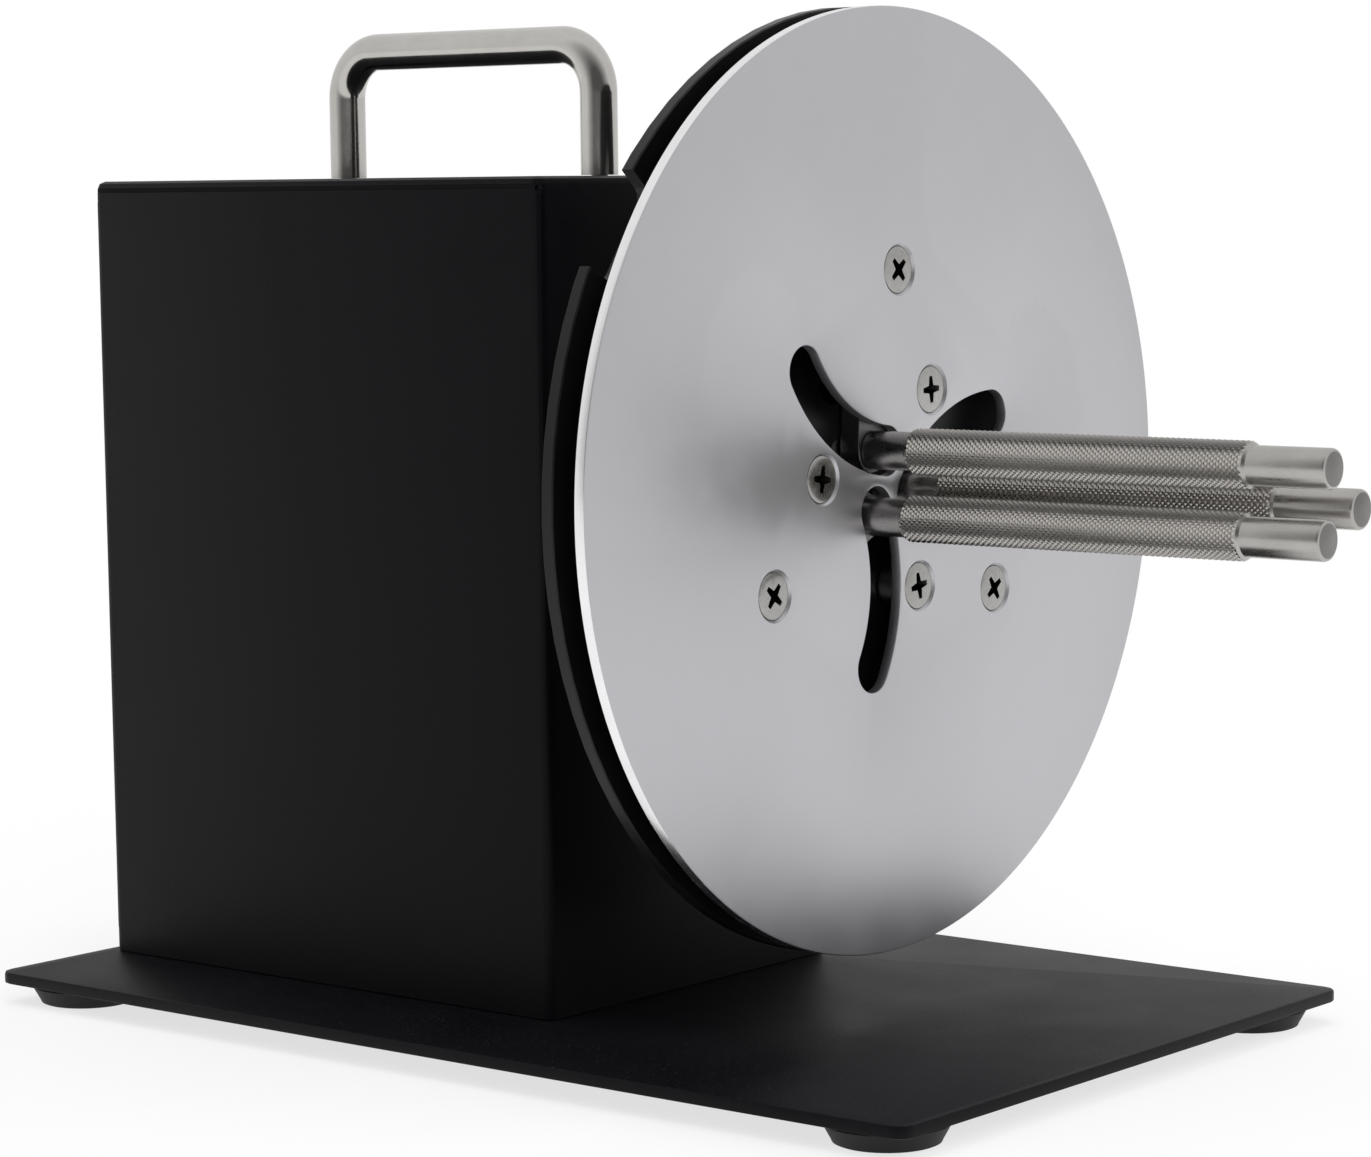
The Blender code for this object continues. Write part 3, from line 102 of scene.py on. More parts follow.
class Wiring:
    """Adds nodes to one node tree and joins their sockets."""

    def __init__(self, tree: bpy.types.NodeTree) -> None:
        """Keeps the tree that the nodes go into."""
        self.tree = tree

    def node(self, kind: str, values: Optional[dict] = None, **settings: object) -> bpy.types.Node:
        """Adds a node.

        Args:
            kind: The node's type, without its ShaderNode prefix.
            values: Constants or sockets for its inputs, by name or number.
            settings: Attributes of the node itself.

        Returns:
            The new node.
        """
        made = self.tree.nodes.new("ShaderNode" + kind)
        for name, value in settings.items():
            setattr(made, name, value)
        for name, value in (values or {}).items():
            if isinstance(value, bpy.types.NodeSocket):
                self.tree.links.new(value, made.inputs[name])
            else:
                made.inputs[name].default_value = value
        return made

    def maths(self, operation: str, *values: object) -> bpy.types.NodeSocket:
        """Adds a Math node and returns its result."""
        made = self.node("Math", dict(enumerate(values)), operation=operation)
        return made.outputs[0]

    def clamped_range(self, value: object, *limits: float) -> bpy.types.NodeSocket:
        """Maps a value from the first two limits to the last two and returns the result."""
        names = ("From Min", "From Max", "To Min", "To Max")
        made = self.node("MapRange", {"Value": value, **dict(zip(names, limits))})
        return made.outputs[0]

    def blend_colours(self, share: object, low: object, high: object) -> bpy.types.NodeSocket:
        """Mixes two colours by a share and returns the result."""
        made = self.node("Mix", {0: share, 6: low, 7: high}, data_type="RGBA")
        return made.outputs[2]


def effect(name: str, inputs: dict[str, object], outputs: Sequence[str]) -> Optional[Wiring]:
    """Starts a node group for an effect, unless it is already there.

    Args:
        name: The group's name.
        inputs: Default values by input name: a number or a vector.
        outputs: Names of its value outputs.

    Returns:
        The wiring of the new group, or None where the group exists.
    """
    if name in bpy.data.node_groups:
        return None
    tree = bpy.data.node_groups.new(name, "ShaderNodeTree")
    for label, value in inputs.items():
        kind = "NodeSocketVector" if isinstance(value, tuple) else "NodeSocketFloat"
        made = tree.interface.new_socket(name=label, in_out="INPUT", socket_type=kind)
        made.default_value = value
    for label in outputs:
        tree.interface.new_socket(name=label, in_out="OUTPUT", socket_type="NodeSocketFloat")
    return Wiring(tree)


def close_effect(wiring: Wiring, results: dict[str, bpy.types.NodeSocket]) -> None:
    """Joins an effect's results to its group's outputs."""
    end = wiring.tree.nodes.new("NodeGroupOutput")
    for label, socket in results.items():
        wiring.tree.links.new(socket, end.inputs[label])


def grain_effect() -> str:
    """Builds the grain effect: two sizes of fine noise on the piece's own coordinates.

    Returns:
        The group's name.
    """
    name = "fine_grain"
    wiring = effect(name, {"Size": 0.001, "Stretch": (1.0, 1.0, 1.0)}, ("Tone", "Height"))
    if wiring:
        start = wiring.tree.nodes.new("NodeGroupInput")
        place = wiring.node("TexCoord").outputs["Object"]
        stretched = wiring.node("VectorMath", {0: place, 1: start.outputs["Stretch"]},
                                operation="MULTIPLY").outputs[0]
        scale = wiring.maths("DIVIDE", 1.0, start.outputs["Size"])
        fine = wiring.node("TexNoise", {"Vector": stretched, "Scale": scale, "Detail": 3.0,
                                        "Roughness": 0.55})
        broad_scale = wiring.maths("MULTIPLY", scale, BROAD_SCALE)
        broad = wiring.node("TexNoise", {"Vector": place, "Scale": broad_scale, "Detail": 2.0})
        tone = wiring.maths("MULTIPLY_ADD", fine.outputs[0], FINE_SHARE,
                            wiring.maths("MULTIPLY", broad.outputs[0], BROAD_SHARE))
        close_effect(wiring, {"Tone": tone, "Height": fine.outputs[0]})
    return name


def lathe_effect() -> str:
    """Builds the lathe effect: rings of uneven depth round an axis along Y.

    Returns:
        The group's name.
    """
    name = "lathe_rings"
    wiring = effect(name, {"Centre": (0.0, 0.0, 0.0), "Pitch": 0.0003}, ("Height",))
    if wiring:
        start = wiring.tree.nodes.new("NodeGroupInput")
        place = wiring.node("TexCoord").outputs["Object"]
        moved = wiring.node("VectorMath", {0: place, 1: start.outputs["Centre"]},
                            operation="SUBTRACT").outputs[0]
        flat = wiring.node("VectorMath", {0: moved, 1: (1.0, 0.0, 1.0)}, operation="MULTIPLY")
        radius = wiring.node("VectorMath", {0: flat.outputs[0]}, operation="LENGTH")
        step = wiring.maths("DIVIDE", radius.outputs["Value"], start.outputs["Pitch"])
        rings = wiring.node("TexNoise", {"W": step, "Scale": 1.0, "Detail": 2.0},
                            noise_dimensions="1D")
        close_effect(wiring, {"Height": rings.outputs[0]})
    return name


def wear_effect() -> str:
    """Builds the wear effect: a mask along outer edges, broken up by noise.

    Returns:
        The group's name.
    """
    name = "edge_wear"
    wiring = effect(name, {"Reach": 0.0005, "Amount": 1.0}, ("Mask",))
    if wiring:
        start = wiring.tree.nodes.new("NodeGroupInput")
        rounded = wiring.node("Bevel", {"Radius": start.outputs["Reach"]}, samples=4)
        normal = wiring.node("NewGeometry").outputs["Normal"]
        turned = wiring.node("VectorMath", {0: rounded.outputs[0], 1: normal},
                             operation="DOT_PRODUCT").outputs["Value"]
        edge = wiring.clamped_range(turned, *EDGE_RANGE, 0.0, 1.0)
        place = wiring.node("TexCoord").outputs["Object"]
        patches = wiring.node("TexNoise", {"Vector": place, "Scale": WEAR_PATCH_SCALE,
                                           "Detail": 4.0})
        kept = wiring.clamped_range(patches.outputs[0], *WEAR_PATCH_RANGE)
        mask = wiring.maths("MULTIPLY", wiring.maths("MULTIPLY", edge, kept),
                            start.outputs["Amount"])
        close_effect(wiring, {"Mask": mask})
    return name


def dust_effect() -> str:
    """Builds the dust effect: a mask of fine specks on faces that look upwards.

    Returns:
        The group's name.
    """
    name = "settled_dust"
    wiring = effect(name, {"Amount": 0.2}, ("Mask",))
    if wiring:
        start = wiring.tree.nodes.new("NodeGroupInput")
        place = wiring.node("TexCoord").outputs["Object"]
        normal = wiring.node("NewGeometry").outputs["Normal"]
        upward = wiring.node("SeparateXYZ", {0: normal}).outputs["Z"]
        lying = wiring.clamped_range(upward, *LYING_RANGE, 0.0, 1.0)
        specks = wiring.node("TexNoise", {"Vector": place, "Scale": SPECK_SCALE, "Detail": 1.0})
        sparse = wiring.clamped_range(specks.outputs[0], *SPECK_RANGE, 0.0, 1.0)
        mask = wiring.maths("MULTIPLY", wiring.maths("MULTIPLY", lying, sparse),
                            start.outputs["Amount"])
        close_effect(wiring, {"Mask": mask})
    return name


@dataclass(frozen=True)
class Finish:
    """One finish: its two tones, its gloss, and the fine relief on it."""

    name: str
    slot: str
    dark: Colour
    light: Colour
    metallic: float = 0.0
    roughness: tuple[float, float] = (0.4, 0.5)
    pattern: Pattern = Pattern.MOULDED
    grain: float = 0.0006
    stretch: tuple[float, float, float] = (1.0, 1.0, 1.0)
    relief: float = 0.00002
    specular: float = 0.5
    wear: float = 0.0
    worn: Colour = (0.30, 0.30, 0.30)
    wear_reach: float = 0.0005
    dust: float = 0.0
    coat: float = 0.0

    def material(self) -> bpy.types.Material:
        """Builds the material once.

        Returns:
            The material of this finish.
        """
        known = bpy.data.materials.get("finish_" + self.name)
        if known:
            return known
        made = bpy.data.materials.new("finish_" + self.name)
        made.use_nodes = True
        wiring = Wiring(made.node_tree)
        shader = made.node_tree.nodes["Principled BSDF"]
        shader.inputs["Metallic"].default_value = self.metallic
        shader.inputs["Specular IOR Level"].default_value = self.specular
        shader.inputs["Coat Weight"].default_value = self.coat
        tone, height = self.relief_of(wiring)
        colour = wiring.blend_colours(wiring.clamped_range(tone, *TONE_RANGE, 0.0, 1.0),
                                      (*self.dark, 1.0), (*self.light, 1.0))
        roughness = wiring.clamped_range(tone, *TONE_RANGE, *self.roughness)
        if self.wear:
            mask = self.placed(wiring, wear_effect(), Reach=self.wear_reach,
                               Amount=self.wear).outputs["Mask"]
            colour = wiring.blend_colours(mask, colour, (*self.worn, 1.0))
        if self.dust:
            mask = self.placed(wiring, dust_effect(), Amount=self.dust).outputs["Mask"]
            colour = wiring.blend_colours(mask, colour, DUST_COLOUR)
            roughness = wiring.maths("MAXIMUM", roughness, mask)
        bump = wiring.node("Bump", {"Height": height, "Distance": self.relief, "Strength": 1.0})
        links = made.node_tree.links
        links.new(colour, shader.inputs["Base Color"])
        links.new(roughness, shader.inputs["Roughness"])
        links.new(bump.outputs[0], shader.inputs["Normal"])
        made.diffuse_color = (*self.light, 1.0)
        return made

    def relief_of(self, wiring: Wiring) -> tuple[bpy.types.NodeSocket, bpy.types.NodeSocket]:
        """Places the effects of this finish's pattern.

        Args:
            wiring: The wiring of the material.

        Returns:
            The sockets of its tone and its height.
        """
        grain = self.placed(wiring, grain_effect(), Size=self.grain, Stretch=self.stretch)
        tone, height = grain.outputs["Tone"], grain.outputs["Height"]
        if self.pattern is Pattern.TURNED:
            low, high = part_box("shaft_bearing")
            rings = self.placed(wiring, lathe_effect(), Centre=tuple((low + high) / 2),
                                Pitch=self.grain).outputs["Height"]
            height = wiring.maths("MULTIPLY_ADD", rings, RING_SHARE,
                                  wiring.maths("MULTIPLY", height, RING_GRAIN_SHARE))
        if self.pattern is Pattern.WOVEN:
            fibres = wiring.node("TexVoronoi", {"Scale": FIBRE_SCALE / self.grain})
            height = wiring.maths("ADD", height, fibres.outputs["Distance"])
        return tone, height

    @staticmethod
    def placed(wiring: Wiring, group: str, **values: object) -> bpy.types.Node:
        """Places an effect's group with its own values.

        Args:
            wiring: The wiring of the material.
            group: The group's name.
            values: Values by input name.

        Returns:
            The group node.
        """
        made = wiring.node("Group", node_tree=bpy.data.node_groups[group])
        for name, value in values.items():
            made.inputs[name].default_value = value
        return made


BLACK_COAT = Finish("black_coat", "black_coat", (0.0026, 0.0025, 0.0036), (0.0042, 0.0041, 0.0054),
                    roughness=(0.42, 0.52), pattern=Pattern.SPRAYED, grain=0.0009, relief=0.000035,
                    specular=0.11, wear=0.25, worn=(0.030, 0.030, 0.032), dust=0.10)
BLACK_ANODISED = Finish("black_anodised", "black_anodised", (0.0026, 0.0026, 0.0032),
                        (0.0048, 0.0048, 0.0056), roughness=(0.30, 0.40), pattern=Pattern.TURNED,
                        grain=0.00035, relief=0.000004, specular=0.28, wear=0.35,
                        worn=(0.10, 0.10, 0.105), wear_reach=0.0003)
SATIN_FACE = Finish("satin_face", "satin_aluminium", (0.555, 0.550, 0.575), (0.585, 0.580, 0.605),
                    metallic=1.0, roughness=(0.40, 0.46), pattern=Pattern.BLASTED, grain=0.00035,
                    relief=0.000006)
# Painted highlight: a much lighter copy of the disc's aluminium on its outer rim; its turned rings
# and lower roughness are the rim's own.
RIM_PAINTED_HIGHLIGHT = Finish("rim_painted_highlight", "satin_aluminium", (0.84, 0.84, 0.85), (0.92, 0.92, 0.93),
                    metallic=1.0, roughness=(0.22, 0.30), pattern=Pattern.TURNED, grain=0.0003,
                    relief=0.000003)
TURNED_ALUMINIUM = Finish("turned_aluminium", "satin_aluminium", (0.50, 0.50, 0.51),
                          (0.60, 0.60, 0.61), metallic=1.0, roughness=(0.24, 0.34),
                          pattern=Pattern.TURNED, grain=0.0003, relief=0.000008)
ROD_STEEL = Finish("rod_steel", "rod_steel", (0.40, 0.385, 0.365), (0.50, 0.485, 0.465),
                   metallic=1.0, roughness=(0.24, 0.34), pattern=Pattern.DRAWN, grain=0.0004,
                   stretch=(1.0, 0.25, 1.0), relief=0.000005)
KNURL_STEEL = Finish("knurl_steel", "rod_steel", (0.40, 0.385, 0.36), (0.52, 0.50, 0.475),
                     metallic=1.0, roughness=(0.20, 0.30), pattern=Pattern.BLASTED, grain=0.0012,
                     relief=0.000005)
# Painted shade: a darker copy of the rod steel for the rods' flat tip ends.
END_PAINTED_SHADE = Finish("end_painted_shade", "rod_steel", (0.17, 0.165, 0.16), (0.24, 0.235, 0.225),
                   metallic=1.0, roughness=(0.26, 0.36), pattern=Pattern.BLASTED, grain=0.0006,
                   relief=0.000006)
ARM_STEEL = Finish("arm_steel", "arm_steel", (0.16, 0.16, 0.16), (0.22, 0.22, 0.22), metallic=1.0,
                   roughness=(0.36, 0.46), pattern=Pattern.DRAWN, grain=0.0006,
                   stretch=(1.0, 1.0, 0.2), relief=0.000008)
POLISHED_STEEL = Finish("polished_steel", "polished_steel", (0.50, 0.485, 0.46),
                        (0.58, 0.565, 0.54), metallic=1.0, roughness=(0.12, 0.18),
                        pattern=Pattern.DRAWN, grain=0.0006, stretch=(1.0, 0.12, 0.12),
                        relief=0.000005)
# Painted shade: a near-black copy of the zinc steel for the screws' cross recesses, standing for
# the shade inside them.
RECESS_PAINTED_SHADE = Finish("recess_painted_shade", "zinc_steel", (0.020, 0.019, 0.018), (0.075, 0.073, 0.07),
                      metallic=1.0, roughness=(0.30, 0.50), pattern=Pattern.BLASTED,
                      grain=0.0008, relief=0.00001)
ZINC_STEEL = Finish("zinc_steel", "zinc_steel", (0.30, 0.295, 0.285), (0.48, 0.475, 0.46),
                    metallic=1.0, roughness=(0.22, 0.36), pattern=Pattern.BLASTED, grain=0.0008,
                    relief=0.00001)
MOTOR_STEEL = Finish("motor_steel", "motor_steel", (0.32, 0.32, 0.31), (0.42, 0.42, 0.41),
                     metallic=1.0, roughness=(0.28, 0.42), pattern=Pattern.DRAWN, grain=0.0008,
                     stretch=(1.0, 0.2, 1.0), relief=0.00001)
BLACK_RUBBER = Finish("black_rubber", "black_rubber", (0.006, 0.006, 0.006), (0.012, 0.012, 0.012),
                      roughness=(0.55, 0.70), grain=0.0012, relief=0.00005, specular=0.35, dust=0.3)
BLACK_PLASTIC = Finish("black_plastic", "black_plastic", (0.008, 0.008, 0.008),
                       (0.014, 0.014, 0.014), roughness=(0.34, 0.44), grain=0.0009,
                       relief=0.000025, specular=0.45, wear=0.15, worn=(0.06, 0.06, 0.06))
ROCKER_PLASTIC = Finish("rocker_plastic", "rocker_plastic", (0.010, 0.010, 0.010),
                        (0.016, 0.016, 0.016), roughness=(0.16, 0.24), grain=0.002,
                        relief=0.000008, specular=0.5)
GREY_FELT = Finish("grey_felt", "felt", (0.05, 0.05, 0.05), (0.13, 0.13, 0.125),
                   roughness=(0.85, 0.95), pattern=Pattern.WOVEN, grain=0.0005, relief=0.0002,
                   specular=0.2)
BOARD_GREEN = Finish("board_green", "board_green", (0.010, 0.075, 0.030), (0.016, 0.12, 0.05),
                     roughness=(0.25, 0.35), grain=0.0015, relief=0.00002, coat=0.4)
TERMINAL_GREEN = Finish("terminal_green", "terminal_green", (0.02, 0.20, 0.06),
                        (0.03, 0.27, 0.09), roughness=(0.35, 0.45), grain=0.001, relief=0.00002)


# ---- Mesh tools ----

def circle_loop(bm: BMesh, centre: Vector, radius: float, steps: int) -> list[BMEdge]:
    """Makes a ring of edges round an axis along Y.

    Args:
        bm: The mesh.
        centre: The ring's centre.
        radius: Its radius.
        steps: Number of edges.

    Returns:
        Its edges.
    """
    place = Matrix.Translation(centre) @ Matrix.Rotation(math.radians(90), 4, "X")
    made = bmesh.ops.create_circle(bm, cap_ends=False, segments=steps, radius=radius, matrix=place)
    return list({edge for vertex in made["verts"] for edge in vertex.link_edges})


def bridge(bm: BMesh, loops: Sequence[Iterable[BMEdge]]) -> None:
    """Joins each loop of edges to the next with a wall."""
    for first, second in zip(loops, loops[1:]):
        bmesh.ops.bridge_loops(bm, edges=list(first) + list(second))


def fill(bm: BMesh, loops: Iterable[Iterable[BMEdge]]) -> None:
    """Fills the flat area between an outer loop and the loops inside it."""
    edges = [edge for loop in loops for edge in loop]
    bmesh.ops.triangle_fill(bm, use_beauty=True, use_dissolve=False, edges=edges)


def turned(bm: BMesh, profile: Sequence[tuple[float, float]], centre: Vector, steps: int) -> None:
    """Turns a profile of (radius, distance along +Y) round an axis through a point.

    Args:
        bm: The mesh.
        profile: The profile's points, from the axis back to the axis.
        centre: A point on the axis.
        steps: Number of steps round.
    """
    corners = [bm.verts.new(centre + Vector((radius, along, 0.0))) for radius, along in profile]
    edges = [bm.edges.new(pair) for pair in zip(corners, corners[1:])]
    bmesh.ops.spin(bm, geom=corners + edges, cent=centre, axis=(0, 1, 0), dvec=(0, 0, 0),
                   angle=math.radians(360), steps=steps, use_merge=True)


def closed_outwards(bm: BMesh) -> None:
    """Merges doubled vertices and points every face outwards."""
    bmesh.ops.remove_doubles(bm, verts=bm.verts, dist=MERGE_DISTANCE)
    bmesh.ops.recalc_face_normals(bm, faces=bm.faces)


def smooth_except_creases(bm: BMesh, crease_deg: float = CREASE_DEG) -> None:
    """Shades a mesh smooth and keeps edges sharper than an angle as creases."""
    limit = math.radians(crease_deg)
    for face in bm.faces:
        face.smooth = True
    for edge in bm.edges:
        edge.smooth = len(edge.link_faces) == 2 and edge.calc_face_angle(0.0) < limit


def finished(name: str, bm: BMesh, finish: Finish, body: str, nodes: Sequence[str] = (),
             more: Sequence[Finish] = ()) -> bpy.types.Object:
    """Makes the object of a piece, whose place is in its mesh.

    Args:
        name: The piece's name.
        bm: Its mesh, which is freed.
        finish: Its finish.
        body: The body it rides on.
        nodes: The CAD nodes that it stands for.
        more: The finishes of the faces with material index 1 and up.

    Returns:
        The object.
    """
    mesh = bpy.data.meshes.new(name)
    bm.to_mesh(mesh)
    bm.free()
    piece = bpy.data.objects.new(name, mesh)
    bpy.context.scene.collection.objects.link(piece)
    mesh.materials.append(finish.material())
    for further in more:
        mesh.materials.append(further.material())
    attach(piece, body)
    if nodes:
        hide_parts(*nodes)
    LOG.info("%s: %d faces on body %s", name, len(mesh.polygons), body)
    return piece


def merged_copy(node: str, finish: Finish, crease_deg: float = CREASE_DEG, edge: float = 0.0
                ) -> bpy.types.Object:
    """Stands a smooth copy in the place of a CAD node.

    Args:
        node: The node's name.
        finish: Its finish.
        crease_deg: Edges sharper than this stay creases.
        edge: Width of the small round on each sharp edge, or 0 for none.

    Returns:
        The object.
    """
    source = frame["nodes"][node]
    bm = bmesh.new()
    bm.from_mesh(source.data)
    bmesh.ops.remove_doubles(bm, verts=bm.verts, dist=MERGE_DISTANCE)
    bmesh.ops.dissolve_limit(bm, angle_limit=math.radians(0.3), verts=bm.verts, edges=bm.edges)
    if edge:
        limit = math.radians(crease_deg)
        sharp = [e for e in bm.edges if len(e.link_faces) == 2 and e.calc_face_angle(0.0) > limit]
        bmesh.ops.bevel(bm, geom=sharp, offset=edge, offset_type="OFFSET", segments=2,
                        profile=0.5, affect="EDGES", material=-1, clamp_overlap=True)
    smooth_except_creases(bm, crease_deg)
    piece = finished(node + "_skin", bm, finish, source["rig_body"], [node])
    if edge:
        weighted = piece.modifiers.new("even_normals", "WEIGHTED_NORMAL")
        weighted.keep_sharp = True
    return piece


def middle(node: str) -> Vector:
    """The middle of a node's box."""
    low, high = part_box(node)
    return (low + high) / 2


# ---- Screws ----

class Head(Enum):
    """The shape of a screw's head."""

    SUNK = "sunk"
    PAN = "pan"


@dataclass
class CrossScrew:
    """A screw with a cross recess, built with its head towards -Y and its tip towards +Y."""

    head: Head
    head_radius: float
    head_height: float
    shank_radius: float
    length: float
    recess_share: float = 0.58
    blade_share: float = 0.105
    flare_share: float = 1.6
    recess_depth_share: float = 0.55
    recess_taper_share: float = 0.62
    sunk_top_share: float = 0.90
    sunk_rim_share: float = 0.05
    pan_top_share: float = 0.45
    pan_shares: tuple[tuple[float, float], ...] = ((0.72, 0.10), (0.90, 0.32), (0.98, 0.62))
    tip_share: float = 0.25
    steps: int = 48

    def mesh(self, place: Matrix) -> BMesh:
        """Builds the screw.

        Args:
            place: Moves the middle of the head's top to its place in the world.

        Returns:
            The mesh.
        """
        bm = bmesh.new()
        top_share = self.sunk_top_share if self.head is Head.SUNK else self.pan_top_share
        top_radius = top_share * self.head_radius
        outline = circle_loop(bm, Vector(), top_radius, self.steps)
        recess = self.recess_outline(bm)
        fill(bm, [outline, recess])
        self.sink_recess(bm, recess)
        self.draw_body(bm, outline, top_radius)
        closed_outwards(bm)
        smooth_except_creases(bm, 34.0)
        bmesh.ops.transform(bm, matrix=place, verts=bm.verts)
        return bm

    def recess_outline(self, bm: BMesh) -> list[BMEdge]:
        """Draws the cross with flared blades and returns its edges."""
        reach = self.recess_share * self.head_radius
        blade = self.blade_share * self.head_radius
        flare = self.flare_share * blade
        corners = []
        for quarter in range(4):
            turn = Matrix.Rotation(math.radians(90 * quarter), 4, "Y")
            for across, along in ((-blade, reach), (blade, reach), (flare, flare)):
                corners.append(bm.verts.new(turn @ Vector((across, 0.0, along))))
        return [bm.edges.new((corners[i - 1], corners[i])) for i in range(len(corners))]

    def sink_recess(self, bm: BMesh, recess: list[BMEdge]) -> None:
        """Draws the recess's walls down to a small cross and closes it."""
        depth = self.recess_depth_share * self.head_radius
        taper = self.recess_taper_share
        made = bmesh.ops.extrude_edge_only(bm, edges=recess)["geom"]
        corners = [item for item in made if isinstance(item, BMVert)]
        bmesh.ops.scale(bm, vec=(taper, 1.0, taper), verts=corners)
        bmesh.ops.translate(bm, vec=(0.0, depth, 0.0), verts=corners)
        fill(bm, [[item for item in made if isinstance(item, BMEdge)]])
        # The recess's walls and floor take material 1, the painted-shade steel.
        for face in {face for corner in corners for face in corner.link_faces}:
            face.material_index = 1

    def draw_body(self, bm: BMesh, outline: list[BMEdge], top_radius: float) -> None:
        """Draws the head's side and the shank from the head's outline and closes the tip."""
        cone = self.head_radius - self.shank_radius
        if self.head is Head.SUNK:
            rim = self.sunk_rim_share * self.head_radius
            stages = [(self.head_radius, rim), (self.shank_radius, rim + cone)]
        else:
            stages = [(out * self.head_radius, down * self.head_height)
                      for out, down in self.pan_shares]
            stages += [(self.head_radius, self.head_height), (self.shank_radius, self.head_height)]
        chamfer = self.tip_share * self.shank_radius
        stages += [(self.shank_radius, self.length - chamfer),
                   (self.shank_radius - chamfer, self.length)]
        edges, radius, along = outline, top_radius, 0.0
        for next_radius, next_along in stages:
            made = bmesh.ops.extrude_edge_only(bm, edges=edges)["geom"]
            corners = [item for item in made if isinstance(item, BMVert)]
            ratio = next_radius / radius
            bmesh.ops.scale(bm, vec=(ratio, 1.0, ratio), verts=corners)
            bmesh.ops.translate(bm, vec=(0.0, next_along - along, 0.0), verts=corners)
            edges = [item for item in made if isinstance(item, BMEdge)]
            radius, along = next_radius, next_along
        fill(bm, [edges])


# ---- Reel ----

